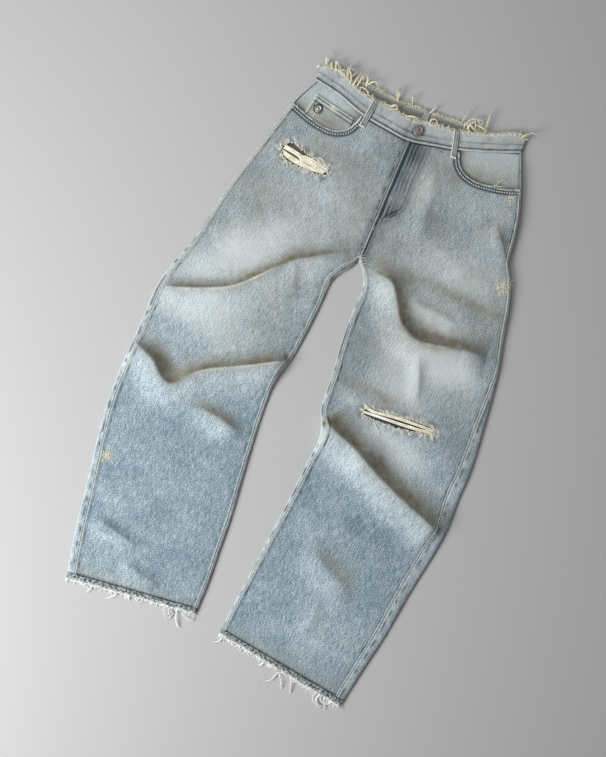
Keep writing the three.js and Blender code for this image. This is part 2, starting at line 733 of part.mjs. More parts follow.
add("loop_back_left", backLoop(118), DARK_DENIM);
add("pocket_facing_right", cut(sheetUnder(RIGHT_FACING, RIGHT_FACING_DEPTH, 4, 6), [RIVET_HOLE]), DENIM);
add("pocket_facing_left", sheetUnder(LEFT_FACING, LEFT_FACING_DEPTH, 4, 6), DENIM);
add("pocket_bag_right", sheetUnder(RIGHT_BAG, BAG_DEPTH, 3, 3), POCKETING);
add("pocket_bag_left", sheetUnder(LEFT_BAG, BAG_DEPTH, 3, 3), POCKETING);
add("coin_pocket", cut(sheetUnder(COIN_POCKET, COIN_DEPTH, 3, 4), [RIVET_HOLE]), DENIM);
add("back_pocket_right", backPocket(-1), DENIM);
add("back_pocket_left", backPocket(1), DENIM);
add("zip_tape", sheetUnder(ZIP_TAPE, LAYER, 6, 2), INSIDE_DENIM);
add("zip_slider", new THREE.BoxGeometry(...ZIP_SLIDER), GREY_BRASS).position.set(...ZIP_SLIDER_PLACE);
add("coin_rivet", coinRivet(), SILVER_RIVET).position.set(...RIVET_PLACE, topHeight(...RIVET_PLACE));
add("waist_button", waistButton(), GREY_BRASS).position.set(...BUTTON_PLACE, topHeight(...BUTTON_PLACE));
add("fray_waist_front", waistFray(-198, 186, FRONT_RAW_EDGE, WAIST_HEIGHT - LAYER), WHITE_THREAD);
add("fray_waist_back_right", waistFray(-196, 2, BACK_RAW_EDGE, SEAT_LIFT + FRAY_WALL), WHITE_THREAD);
add("fray_waist_back_left", waistFray(16, 184, BACK_RAW_EDGE, SEAT_LIFT + FRAY_WALL), WHITE_THREAD);
add("rip_threads_hip", ripThreads(HIP_RIP, [[-225, 160], [-115, 160], [-115, 115], [-225, 115]]), WHITE_THREAD);
add("rip_threads_knee", ripThreads(KNEE_RIP, [[105, -225], [260, -225], [260, -270], [105, -270]]), WHITE_THREAD);

// The origin is under the middle of the garment, on the surface.
const reach = new THREE.Box3().setFromObject(jeans);
const middle = reach.getCenter(new THREE.Vector3());
jeans.position.set(-middle.x, -middle.y, -reach.min.z);

export default jeans;
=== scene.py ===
# %% [markdown]
# # Ripped wide-leg jeans, laid flat
# A pair of light-washed denim jeans lies front up on a pale floor. The waist and both hems are
# cut raw and frayed, the right hip and the left knee are ripped, and the cloth is creased, faded
# and a little dirty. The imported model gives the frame: every piece below is made in metres in
# that frame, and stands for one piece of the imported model.

# %% Load the frame
import math

import bpy
import numpy as np
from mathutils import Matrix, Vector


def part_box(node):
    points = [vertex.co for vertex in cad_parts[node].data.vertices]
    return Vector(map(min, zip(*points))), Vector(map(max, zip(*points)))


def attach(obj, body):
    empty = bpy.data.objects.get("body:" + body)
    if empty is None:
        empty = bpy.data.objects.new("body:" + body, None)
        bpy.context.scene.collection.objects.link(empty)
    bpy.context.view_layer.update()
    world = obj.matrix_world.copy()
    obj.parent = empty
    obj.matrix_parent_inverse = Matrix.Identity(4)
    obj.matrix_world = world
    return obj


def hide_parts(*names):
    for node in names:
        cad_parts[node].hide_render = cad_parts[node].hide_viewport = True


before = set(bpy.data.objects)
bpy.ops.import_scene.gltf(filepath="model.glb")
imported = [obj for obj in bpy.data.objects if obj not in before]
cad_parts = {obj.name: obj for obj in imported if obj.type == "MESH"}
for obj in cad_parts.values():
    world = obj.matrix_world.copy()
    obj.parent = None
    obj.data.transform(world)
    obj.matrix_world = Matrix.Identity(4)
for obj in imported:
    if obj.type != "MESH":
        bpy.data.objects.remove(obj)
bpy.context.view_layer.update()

# %% [markdown]
# ## The pattern's own axes
# A jeans maker measures from the crotch point, so all places below are in millimetres from there:
# X to the wearer's left, Y up the body. The waist button's place is known in both systems, so it
# gives the shift between them.

# %% From the pattern's millimetres to the frame's metres
BUTTON_PLACE = (5.6, 268.0)
button_low, button_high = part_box("waist_button")
SHIFT = np.array([(button_low[k] + button_high[k]) / 2 - BUTTON_PLACE[k] / 1000 for k in (0, 1)] + [0.0])
print("the crotch point in the frame:", SHIFT.round(4))


def to_frame(points):
    """Millimetres from the crotch to metres in the frame."""
    return np.asarray(points, float) / 1000 + SHIFT


# %% [markdown]
# ## The outline of the legs
# A leg laid flat is a strip between two side folds. Stations down the leg give the west and east
# ends of a line across it, and how far inside each end the seam between front and back lies. A
# smooth curve through the stations gives any line between them.

# %% Stations of the two legs
RIGHT_LEG = {
    "stations": np.array([
        [-209, 282, -5.2, 243, 4, 0], [-231, 235, -5.2, 200, 4, 0], [-244, 190, -5.2, 155, 4, 0],
        [-257, 140, -5.2, 110, 4, 0], [-270, 90, -5.2, 65, 4, 0], [-283, 40, -5.2, 28, 4, 0],
        [-297, -30, -5.2, 3, 5, 2], [-304, -75, -13, -18, 6, 12], [-314, -105, -34, -50, 8, 8],
        [-326, -140, -37, -95, 9, 5], [-337, -190, -40, -150, 11, 5], [-338, -245, -47, -215, 11, 5],
        [-338, -300, -60, -270, 11, 5], [-340, -360, -59, -340, 11, 5], [-338, -420, -53, -405, 11, 5],
        [-330, -490, -46, -470, 12, 5], [-318, -560, -38, -540, 13, 5], [-307, -630, -34, -606, 14, 5],
        [-297, -690, -30, -670, 15, 5], [-281, -762, -30, -729, 15, 5]], float),
    "seat": np.array([270, 205, 165, 125, 82, 40, 3], float),
    "centre": "east",
}
LEFT_LEG = {
    "stations": np.array([
        [-4.8, 243, 201, 305, 0, 3], [-4.8, 210, 215, 272, 0, 3], [-4.8, 172, 232, 230, 0, 3],
        [-4.8, 135, 246, 185, 0, 3], [-4.8, 100, 254, 140, 0, 3], [-4.8, 65, 259, 105, 0, 3],
        [-4.8, 33, 274, 78, 0, 3], [-4.8, 3, 290, 36, 2, 3], [10, -14, 304, -22, 4, 3.5],
        [23, -45, 321, -90, 6, 4.5], [23, -100, 328, -135, 7, 9], [26, -155, 335, -190, 8, 15],
        [33, -215, 341, -240, 8, 19], [38, -280, 345, -290, 8, 21], [56, -332, 344, -340, 8, 22],
        [53, -391, 346, -400, 8, 22], [49, -460, 340, -460, 8, 22], [42, -540, 327, -540, 7, 20],
        [35, -620, 315, -635, 6, 18], [29, -685, 302, -705, 6, 16], [25, -747, 288, -786, 6, 15]], float),
    "seat": np.array([270, 205, 168, 132, 96, 62, 30, 3], float),
    "centre": "west",
}
FRONT_SEAM = [
    (-211, 282), (-159, 272), (-100, 254), (-50, 247), (-5, 243), (41, 252), (88, 263), (130, 277),
    (201, 305),
]
FRONT_RAW_EDGE = [
    (-211, 313), (-166, 317), (-127, 297), (-63, 290), (-23, 285), (20, 289), (91, 302), (140, 318),
    (186, 335), (201, 332),
]
BACK_SEAM = [(-211, 282), (-5, 270), (201, 305)]
BACK_RAW_EDGE = [
    (-211, 313), (-160, 312), (-104, 314), (-56, 309), (15, 311), (78, 315), (140, 318), (186, 333),
    (201, 332),
]
CLOTH, GAP, HEM_WALL = 1.3, 0.3, 2.2
LAYER = CLOTH + GAP

# %% Small curves that the shapes are drawn with
def smooth(value, low, high):
    """0 up to low, 1 from high on, and a soft S between them."""
    t = np.clip((np.asarray(value, float) - low) / (high - low), 0, 1)
    return t * t * (3 - 2 * t)


def mix(a, b, share):
    return a + (b - a) * share


def stripe(distance, middle, width):
    """A soft stripe: 1 at the middle distance, and gone two widths away on both sides."""
    return np.exp(-((distance - middle) / width)**2)


def ripple(run, pitch, shift=0.0):
    """Even waves from -1 to 1 along a run."""
    return np.sin(run / pitch * 2 * math.pi + shift)


def run_along(points):
    """The distance run from a line's first point to each of its points."""
    return np.r_[0, np.cumsum(np.linalg.norm(np.diff(points, axis=0), axis=-1))]


def at_station(values, station):
    """A smooth curve through equally spaced values."""
    values = np.asarray(values, float)
    last = len(values) - 1
    s = np.clip(np.asarray(station, float), 0, last)
    i = np.minimum(s.astype(int), last - 1)
    t = s - i
    if values.ndim > 1:
        t = t[..., None]
    before, after = values[np.maximum(i - 1, 0)], values[np.minimum(i + 2, last)]
    a, b = values[i], values[i + 1]
    v0, v1 = (b - before) / 2, (after - a) / 2
    return (2 * a - 2 * b + v0 + v1) * t**3 + (-3 * a + 3 * b - 2 * v0 - v1) * t**2 + v0 * t + a


# %% Seam lines, and lines across a leg
def height_along(points):
    """Y at any X along a smooth line through the points."""
    xs, ys = np.array(points, float).T
    slope = np.gradient(ys, xs)

    def at(x):
        x = np.clip(np.asarray(x, float), xs[0], xs[-1])
        i = np.clip(np.searchsorted(xs, x, side="right") - 1, 0, len(xs) - 2)
        run = xs[i + 1] - xs[i]
        t = (x - xs[i]) / run
        return ((2 * t**3 - 3 * t**2 + 1) * ys[i] + (t**3 - 2 * t**2 + t) * run * slope[i]
                + (-2 * t**3 + 3 * t**2) * ys[i + 1] + (t**3 - t**2) * run * slope[i + 1])

    return at


front_seam = height_along(FRONT_SEAM)
front_raw_edge = height_along(FRONT_RAW_EDGE)
back_raw_edge = height_along(BACK_RAW_EDGE)


def back_seam(x):
    xs, ys = np.array(BACK_SEAM, float).T
    return np.interp(x, xs, ys)


for leg in (RIGHT_LEG, LEFT_LEG):
    leg["last"] = len(leg["stations"]) - 1
    leg["crotch"] = len(leg["seat"]) - 1
    leg["centre_x"] = leg["stations"][0][2 if leg["centre"] == "east" else 0]


def ends_across(leg, station, seat=False):
    """West and east end of the line across a leg at each station."""
    station = np.asarray(station, float)
    across = at_station(leg["stations"], station)
    west, east = across[..., 0:2].copy(), across[..., 2:4].copy()
    above = station < leg["crotch"]
    centre = east if leg["centre"] == "east" else west
    centre[..., 0] = np.where(above, leg["centre_x"], centre[..., 0])
    if seat:
        seat_y = at_station(leg["seat"], np.minimum(station, leg["crotch"]))
        centre[..., 1] = np.where(above, seat_y, centre[..., 1])
    return west, east


def width_across(leg, stations, seat=False):
    """The length of the line across a leg at each station."""
    west, east = ends_across(leg, stations, seat)
    return np.linalg.norm(east - west, axis=1)


def place_on(leg, station, share, seat=False):
    """Places on the lines across a leg. The first lines bend to meet the waistband."""
    station, share = np.broadcast_arrays(np.asarray(station, float), np.asarray(share, float))
    west, east = ends_across(leg, station, seat)
    place = west + (east - west) * share[..., None]
    first_west, first_east = ends_across(leg, np.zeros(1), seat)
    first_x = mix(first_west[0, 0], first_east[0, 0], share)
    seam = back_seam if seat else front_seam
    bend = seam(first_x) - mix(first_west[0, 1], first_east[0, 1], share)
    place[..., 1] += bend * (1 - smooth(station, 0, 2))
    return place


def seam_inset(leg, side, station, gap):
    """How far inside a side fold the seam lies; zero on the centre seam, which is no fold."""
    column = 4 if side == "west" else 5
    inset = np.maximum(at_station(leg["stations"][:, column], station), 1) + gap
    if leg["centre"] == side:
        inset = np.where(np.asarray(station) < leg["crotch"], 0, inset)
    return inset


print("stations:", leg["last"] + 1, "on the left leg")

# %% [markdown]
# ## The height of the cloth
# Flat cloth rolls over at its side folds and is nearly level between them. Folds stand on it as
# ridges: steep up the leg, where the cloth has slid over itself, and running out down the leg. They
# could be simulated, but these folds are known one by one, so a height rule for each gives the same
# result every time and keeps all the layers apart.

# %% Nearest places on a line, and soft noise
def nearest_on(line, x, y):
    """Distance, side, share along and nearest point on a polyline, for arrays of places."""
    line = np.asarray(line, float)
    shape = np.shape(x)
    px, py = np.ravel(x).astype(float), np.ravel(y).astype(float)
    out = np.empty((5, len(px)))
    start, run = line[:-1], np.diff(line, axis=0)
    squared = (run**2).sum(1)
    for a in range(0, len(px), 8192):
        part = slice(a, a + 8192)
        ax, ay = px[part, None] - start[:, 0], py[part, None] - start[:, 1]
        share = np.clip((ax * run[:, 0] + ay * run[:, 1]) / squared, 0, 1)
        away = np.hypot(ax - share * run[:, 0], ay - share * run[:, 1])
        k = away.argmin(1)
        n = np.arange(len(k))
        side = np.sign(run[k, 0] * ay[n, k] - run[k, 1] * ax[n, k])
        s = share[n, k]
        out[:, part] = [away[n, k], np.where(side == 0, 1, side), (k + s) / len(run),
                        start[k, 0] + s * run[k, 0], start[k, 1] + s * run[k, 1]]
    return out.reshape((5,) + shape)


def waver(x, y, size, seed):
    """Soft noise from -1 to 1 whose bumps are about size millimetres apart."""
    table = np.random.default_rng(seed).uniform(-1, 1, (61, 61))
    fx, fy = np.asarray(x, float) / size, np.asarray(y, float) / size
    i, j = np.floor(fx).astype(int), np.floor(fy).astype(int)
    tx, ty = smooth(fx - i, 0, 1), smooth(fy - j, 0, 1)
    at = lambda a, b: table[a % 61, b % 61]
    return mix(mix(at(i, j), at(i + 1, j), tx), mix(at(i, j + 1), at(i + 1, j + 1), tx), ty)


def smooth_line(points, steps):
    """Points along a smooth curve through the given ones."""
    points = np.asarray(points, float)
    return at_station(points, np.linspace(0, len(points) - 1, steps + 1))


# %% Side folds and creases
WAIST_WEST, WAIST_EAST = (-211, 313), (200, 333)
SIDE_STEPS = 5


def side_line(leg, side, first):
    column = 0 if side == "west" else 2
    curve = at_station(leg["stations"][:, column:column + 2],
                       np.arange(first * SIDE_STEPS, leg["last"] * SIDE_STEPS + 1) / SIDE_STEPS)
    return np.vstack([curve, curve[-1] + (0, -20)])


SIDE_LINES = [
    np.vstack([WAIST_WEST, side_line(RIGHT_LEG, "west", 0)]),
    side_line(RIGHT_LEG, "east", RIGHT_LEG["crotch"]),
    side_line(LEFT_LEG, "west", LEFT_LEG["crotch"]),
    np.vstack([WAIST_EAST, side_line(LEFT_LEG, "east", 0)]),
]

# crest, height, reach and steepness up the leg, reach down the leg, lean up the leg, dirt with
# painted shade on the up-leg side and how wide it lies, wear with a painted highlight down the lit
# side of the crest, and the share of the crest that is rubbed to a pale line
ACROSS_A_LEG = 14      # a fold higher than this runs right across a leg
FOLDS = [
    ([(-326, -186), (-300, -184), (-251, -166), (-194, -136), (-140, -79), (-111, -50), (-76, -29),
      (-22, 10)],
     16, 38, 2.1, 60, 6, .54, 17, 1.0, (.10, .62)),
    ([(-111, -51), (-100, -80), (-89, -115)], 4, 22, 2, 30, 0, 0, 9, .2, None),
    ([(-339, -298), (-318, -312), (-285, -326), (-260, -349), (-234, -353), (-206, -320), (-177, -299),
      (-124, -271), (-66, -238), (-50, -228)], 16, 40, 1.9, 56, 6, .60, 18, 1.0, (.52, .98)),
    ([(-206, -375), (-152, -373), (-116, -378), (-78, -389)], 12, 30, 1.9, 36, 2, .50, 14, .8, None),
    ([(-282, -633), (-232, -645), (-173, -656)], 9, 24, 2, 40, 1, 0, 9, .3, None),
    ([(-202, -690), (-157, -702), (-111, -710)], 6, 20, 2, 26, 1, 0, 9, .3, None),
    ([(18, -8), (65, -19), (85, -42), (115, -83), (157, -102), (199, -96), (240, -86), (290, -76)],
     17, 54, 1.7, 54, 6, .66, 22, 1.0, (.55, .8)),
    ([(164, -117), (187, -163), (200, -213)], 7, 28, 2, 28, 1, .1, 9, .4, None),
    ([(42, -300), (60, -312), (113, -331), (162, -354), (229, -384), (294, -407), (334, -422)],
     22, 66, 1.6, 60, 7, .70, 30, 1.0, None),
    ([(72, -485), (130, -472), (195, -452)], 7, 26, 1.7, 44, 1, 0, 9, .3, None),
    ([(112, -522), (150, -552), (192, -573), (236, -590)], 9, 44, 1.7, 52, 2, .24, 26, .3, None),
    ([(179, -600), (172, -660), (164, -724)], 3, 26, 1.8, 26, 0, 0, 9, .2, None),
    ([(111, -31), (165, -33), (219, -39)], 5, 24, 1.8, 30, 0, .2, 9, .3, None),
    ([(207, 165), (231, 132), (257, 98)], 4, 18, 1.8, 24, 1, .2, 9, .3, None),
    ([(60, 239), (76, 150), (88, 71)], 3, 26, 1.8, 26, 0, 0, 9, .4, None),
]
FOLD_VALUES = ("height", "up", "steepness", "down", "lean", "dirt", "dirt_width", "wear", "rubbed")
for k, (crest, *values) in enumerate(FOLDS):
    line = smooth_line(crest, 28)
    FOLDS[k] = dict(zip(FOLD_VALUES, values), line=line, low=line.min(0), high=line.max(0),
                    up_side=np.sign(line[-1, 0] - line[0, 0]))


def fold_field(x, y):
    """Rise, lean to east and north, dirt with painted shade, wear with a painted highlight, and rubbed crest
    that the folds give at each place.
    """
    x, y = np.asarray(x, float), np.asarray(y, float)
    field = np.zeros((6,) + x.shape)
    rise, lean_x, lean_y, dirt, wear, rubbed = field
    for fold in FOLDS:
        reach = max(fold["up"], fold["down"]) + 8
        (west, south), (east, north) = fold["low"] - reach, fold["high"] + reach
        near = (x > west) & (x < east) & (y > south) & (y < north)
        if not near.any():
            continue
        distance, side, share, nx, ny = nearest_on(fold["line"], x[near], y[near])
        is_up = side == fold["up_side"]
        start, run_out = (-0.03, 0.16) if fold["height"] > ACROSS_A_LEG else (0, 0.34)
        ends = smooth(share, start, run_out) * smooth(1 - start - share, 0, run_out)
        up = np.clip(1 - distance / fold["up"], 0, 1)**fold["steepness"]
        down = 0.5 * (1 + np.cos(math.pi * np.minimum(distance / fold["down"], 1)))
        crisp = np.exp(-distance / 7) * (distance < fold["down"])
        shape = np.where(is_up, up, 0.86 * down + 0.14 * crisp)
        rise[near] += fold["height"] * ends * (1 + 0.16 * waver(nx, ny, 38, 5)) * shape
        ahead = fold["line"][-1] - fold["line"][0]
        lean = fold["lean"] * fold["up_side"] / np.hypot(*ahead) * ends * shape**2
        lean_x[near] -= lean * ahead[1]
        lean_y[near] += lean * ahead[0]
        close = np.exp(-distance / 4)
        # painted shade as well as dirt: the band darkens the up-leg side of each fold, where the light does
        # not fall
        soiled_and_shaded = stripe(distance, 0.4 * fold["dirt_width"], fold["dirt_width"]) * np.where(is_up, 1, close)
        patchy = 0.9 + 0.3 * waver(nx, ny, 33, 6) + 0.15 * waver(x[near], y[near], 12, 8)
        dirt[near] = np.maximum(dirt[near], fold["dirt"] * ends * soiled_and_shaded * patchy)
        # painted highlight as well as wear: up the leg the crest itself is worn, down the leg a pale band is
        # painted on the lit slope
        worn_and_lit = np.where(is_up, close, stripe(distance, 20, 26))
        wear[near] = np.maximum(wear[near], fold["wear"] * ends * worn_and_lit)
        if fold["rubbed"]:
            first, last = fold["rubbed"]
            along = smooth(share, first, first + 0.12) * smooth(-share, -last, -last + 0.12)
            pale_line = stripe(distance, 0, 2.2) * (0.75 + 0.25 * waver(nx, ny, 21, 7))
            rubbed[near] = np.maximum(rubbed[near], along * pale_line)
    return field


# %% The height rule itself
TOP_ROLL, UNDER_ROLL = 9, 4                 # how far in from a side fold the cloth becomes level
LEG_THICKNESS, SEAT_THICKNESS = 6.4, 11     # of the whole garment, before its folds
SWELLS = [(1.0, 70, 1), (0.7, 31, 2), (0.22, 12, 3)]      # height, size and seed of its slight waves


def roll(distance, width):
    """Height of a round edge, from 0 at the side fold to 1 where the cloth is level."""
    left = 1 - np.minimum(distance, width) / width
    return np.sqrt(np.maximum(1 - left * left, 0))


def edge_distance(x, y):
    return np.min([nearest_on(line, x, y)[0] for line in SIDE_LINES], axis=0)


def thickness_at(y):
    return mix(LEG_THICKNESS, SEAT_THICKNESS, smooth(y, -80, 60)) - 3 * smooth(y, 256, 300)


def lift_at(y):
    """The yokes and back pockets lie under the seat and lift it by one layer."""
    return LAYER * smooth(y, -50, 25)


def tip_height(y):
    return mix(lift_at(y), thickness_at(y), 0.45)


def on_top(x, y, raised=0.0):
    """The garment's top face at these places, with its folds, in millimetres."""
    x, y = np.asarray(x, float), np.asarray(y, float)
    rise, lean_x, lean_y = fold_field(x, y)[:3]
    inside = roll(edge_distance(x, y), TOP_ROLL)
    swell = sum(height * waver(x, y, size, seed) for height, size, seed in SWELLS)
    level = thickness_at(y) + rise + swell * inside * smooth(-y, -240, -180)
    z = mix(tip_height(y), level, inside) + raised
    return np.stack([x + lean_x * inside, y + lean_y * inside, z], -1)


def on_under(x, y):
    """The garment's face on the floor side."""
    x, y = np.asarray(x, float), np.asarray(y, float)
    return np.stack([x, y, mix(tip_height(y), lift_at(y), roll(edge_distance(x, y), UNDER_ROLL))], -1)


def on_tip(x, y):
    """The outermost line of a side fold."""
    return np.stack([x, y, tip_height(np.asarray(y, float))], -1)


def spot_on_top(x, y):
    return on_top(np.array([float(x)]), np.array([float(y)]))[0]


print("height at the knee fold:", spot_on_top(229, -384).round(1), "mm")

# %% [markdown]
# ## Mesh and material helpers
# Cloth is a grid of places with some cells left out. Each point carries how faded, dirty, dark,
# roped or frayed the cloth is there, with painted highlights and painted shade mixed into the
# faded, dirty and dark numbers, and the materials read those numbers.

# %% Grid to mesh
LOOKS = ("fade", "dirt", "dark", "rope", "fuzz")
made = []


def add_piece(name, points, faces, uv=None, looks=None, smooth_faces=True):
    """A mesh object at the origin from millimetre places."""
    mesh = bpy.data.meshes.new(name)
    mesh.from_pydata(to_frame(points).tolist(), [], faces)
    piece = bpy.data.objects.new(name, mesh)
    bpy.context.scene.collection.objects.link(piece)
    if uv is not None:
        layer = mesh.uv_layers.new(name="cloth")
        corners = np.empty(len(mesh.loops), int)
        mesh.loops.foreach_get("vertex_index", corners)
        layer.data.foreach_set("uv", np.asarray(uv, np.float32)[corners].ravel())
    for look in LOOKS:
        values = looks[look] if looks else np.zeros(len(mesh.vertices))
        attribute = mesh.attributes.new(look, "FLOAT", "POINT")
        attribute.data.foreach_set("value", np.ravel(values).astype(np.float32))
    if smooth_faces:
        mesh.shade_smooth()
    made.append(piece)
    return piece


def grid_piece(name, grid, looks, uv=None, keep=None, ring=False, wall=CLOTH):
    """A wall of cloth from a grid: rows down the garment, columns to the east where it looks up."""
    rows, columns = grid.shape[:2]
    ids = np.arange(rows * columns).reshape(rows, columns)
    following = np.roll(ids, -1, axis=1)
    cells = np.stack([ids[:-1], ids[1:], following[1:], following[:-1]], -1)
    if not ring:
        cells = cells[:, :-1]
    if keep is not None:
        cells = cells[keep]
    cells = cells.reshape(-1, 4)
    used = np.unique(cells)
    renumber = np.full(rows * columns, -1)
    renumber[used] = np.arange(len(used))
    if uv is None:
        along, across = run_along(grid[:, columns // 2]), run_along(grid[rows // 2])
        uv = np.stack(np.broadcast_arrays(across[None, :], -along[:, None]), -1) / 1000
    looks = {look: np.broadcast_to(values, (rows, columns)).ravel()[used] for look, values in looks.items()}
    piece = add_piece(name, grid.reshape(-1, 3)[used], renumber[cells].tolist(),
                      uv.reshape(-1, 2)[used], looks)
    thicken = piece.modifiers.new("cloth wall", "SOLIDIFY")
    thicken.thickness = wall / 1000
    thicken.offset = -1
    thicken.use_quality_normals = True
    return piece


# %% One function for colours, one for nodes
def srgb(code):
    """An sRGB hex colour as linear RGBA."""
    parts = [int(code[i:i + 2], 16) / 255 for i in (1, 3, 5)]
    return tuple(c / 12.92 if c <= 0.04045 else ((c + 0.055) / 1.055)**2.4 for c in parts) + (1.0,)


def add_node(tree, kind, inputs=None, **settings):
    """Adds a node with its settings. An input is given a number, a colour or another node's socket."""
    node = tree.nodes.new(kind)
    for name, value in settings.items():
        setattr(node, name, value)
    for key, value in (inputs or {}).items():
        if isinstance(value, bpy.types.NodeSocket):
            tree.links.new(value, node.inputs[key])
        else:
            node.inputs[key].default_value = value
    return node


# %% [markdown]
# ## Finishes
# Denim is a twill of blue warp over white weft. Washing and bleaching leaves the blue only in the
# valleys, so a light wash is a mottle of pale grey-blue and white a few threads wide, streaked
# along the warp. Dirt and age tint it olive and brown in the folds, and the same tint, darker, is
# painted shade on their shaded sides. Seams rub white on their ridges and stay dark beside them.

# %% Washed denim
WARP = 0.0022              # true warp spacing is 0.5 mm; drawn four times as coarse so that it shows
STREAK = (WARP, 0.01375)   # width and length of the pale streaks in the warp
STROKE = (0.008, 0.026)    # width and length of the broader streaks that the wash leaves
FLECK = 0.0019             # size of the bleached flecks
ROPE = 0.0052              # size of the light and dark blocks on a worn edge
GRIME, CLOUD = 0.017, 0.055        # size of the dirt's blots, and of the wash's clouds


def denim(name, blue, pale, blotch=0.3):
    """Cotton twill, indigo-dyed, stone-washed: matt, soft, mottled, its warp running down the leg."""
    material = bpy.data.materials.new(name)
    material.use_nodes = True
    tree = material.node_tree
    tree.nodes.clear()
    cloth = add_node(tree, "ShaderNodeUVMap", uv_map="cloth").outputs["UV"]
    place = add_node(tree, "ShaderNodeTexCoord").outputs["Object"]
    look = {key: add_node(tree, "ShaderNodeAttribute", attribute_name=key).outputs["Fac"] for key in LOOKS}
    pattern = {}
    for key, axes, (width, length), detail, roughness in (
            ("flecks", cloth, (FLECK, FLECK), 2, 0.6), ("streaks", cloth, STREAK, 2, 0.5),
            ("strokes", cloth, STROKE, 3, 0.6), ("ropes", cloth, (ROPE, ROPE), 1, 0.5),
            ("clouds", place, (CLOUD, CLOUD), 3, 0.5), ("grime", place, (GRIME, GRIME), 3, 0.65)):
        scale = (1 / width, 1 / length, 1 / width)
        sized = add_node(tree, "ShaderNodeMapping", {"Vector": axes, "Scale": scale})
        pattern[key] = add_node(tree, "ShaderNodeTexNoise", {
            "Vector": sized.outputs[0], "Scale": 1, "Detail": detail, "Roughness": roughness}).outputs[0]

    # how pale: the fade, plus each pattern swinging about its middle of 0.5
    paleness = look["fade"]
    for key, swing in (("flecks", 2.7), ("streaks", 1.2), ("strokes", 0.5), ("clouds", blotch)):
        share = add_node(tree, "ShaderNodeMath", {0: pattern[key], 1: swing, 2: -swing / 2},
                         operation="MULTIPLY_ADD").outputs[0]
        paleness = add_node(tree, "ShaderNodeMath", {0: paleness, 1: share}, operation="ADD").outputs[0]
    colour = add_node(tree, "ShaderNodeMix", {0: paleness, 6: srgb(blue), 7: srgb(pale)},
                      data_type="RGBA").outputs[2]

    # dirt, and painted shade on the shaded sides of the folds: olive where the value is low, dark brown
    # where it is high
    soil_and_shade = add_node(tree, "ShaderNodeMix", {0: look["dirt"], 6: srgb("#a79e86"), 7: srgb("#625840")},
                    data_type="RGBA").outputs[2]
    blocks = add_node(tree, "ShaderNodeMapRange", {
        "Value": pattern["ropes"], "From Min": 0.42, "From Max": 0.58}).outputs[0]
    roping = add_node(tree, "ShaderNodeMix", {0: blocks, 6: srgb("#353f42"), 7: srgb("#c9d0cc")},
                      data_type="RGBA").outputs[2]
    # each layer over the blue: its look, the pattern that breaks it up with its gain and base, its tint
    for key, broken_by, gain, base, tint in (
            ("dirt", "grime", 1.2, 0.4, soil_and_shade),                     # olive where thin, brown where thick
            # dark is unworn indigo, and also painted shade: in and above the knee rip, round the button and
            # the rivet, and on the facings at the pocket mouths
            ("dark", "flecks", 1.8, 0.05, srgb("#2c3943")),        # unworn indigo beside the seams
            ("rope", "ropes", 0.0, 0.8, roping),                   # blocks of dark and white on a worn edge
            ("fuzz", "flecks", 1.6, 0.1, srgb("#e3e3d8"))):        # bare white weft, its blue worn off
        broken = add_node(tree, "ShaderNodeMath", {0: pattern[broken_by], 1: gain, 2: base},
                          operation="MULTIPLY_ADD").outputs[0]
        share = add_node(tree, "ShaderNodeMath", {0: look[key], 1: broken}, operation="MULTIPLY").outputs[0]
        colour = add_node(tree, "ShaderNodeMix", {0: share, 6: colour, 7: tint}, data_type="RGBA").outputs[2]

    # a wave's bands are 0.63 / Scale apart, so the twill lines lie about four drawn threads apart
    twill = add_node(tree, "ShaderNodeTexWave", {
        "Vector": cloth, "Scale": 0.15 / WARP, "Distortion": 1.2, "Detail": 1}, bands_direction="DIAGONAL")
    ribbed = add_node(tree, "ShaderNodeMath", {0: twill.outputs["Fac"], 1: 0.16, 2: pattern["flecks"]},
                      operation="MULTIPLY_ADD").outputs[0]
    height = add_node(tree, "ShaderNodeMath", {0: ribbed, 1: pattern["streaks"]}, operation="ADD").outputs[0]
    bump = add_node(tree, "ShaderNodeBump", {"Strength": 0.45, "Distance": 0.0012, "Height": height})
    shader = add_node(tree, "ShaderNodeBsdfPrincipled", {
        "Base Color": colour, "Roughness": 0.92, "Specular IOR Level": 0.25, "Sheen Weight": 0.12,
        "Sheen Roughness": 0.5, "Normal": bump.outputs[0]})
    add_node(tree, "ShaderNodeOutputMaterial", {"Surface": shader.outputs[0]})
    return material


light_denim = denim("light_washed_denim", "#5b7483", "#cfdbe1", blotch=0.4)     # the outside, washed pale
edge_denim = denim("worn_seam_denim", "#5c6f82", "#cdd5d8")                     # loops and hems, rubbed more
inside_denim = denim("inside_of_denim", "#444e57", "#767e84")                   # the reverse, in shade
facing_denim = denim("pocket_facing_denim", "#6e8591", "#c6d2d6")               # kept clean by the pocket
print("denims:", [m.name for m in (light_denim, edge_denim, inside_denim, facing_denim)])

# %% [markdown]
# Cotton thread and pocketing are undyed cotton: cream, matt, with fine fibres; the pocketing is
# painted darker, grey-brown, as the shade seen through the hip rip. The button and the
# rivet are stamped metal: grey brass rubbed dull, and a silvery copper-washed rivet.

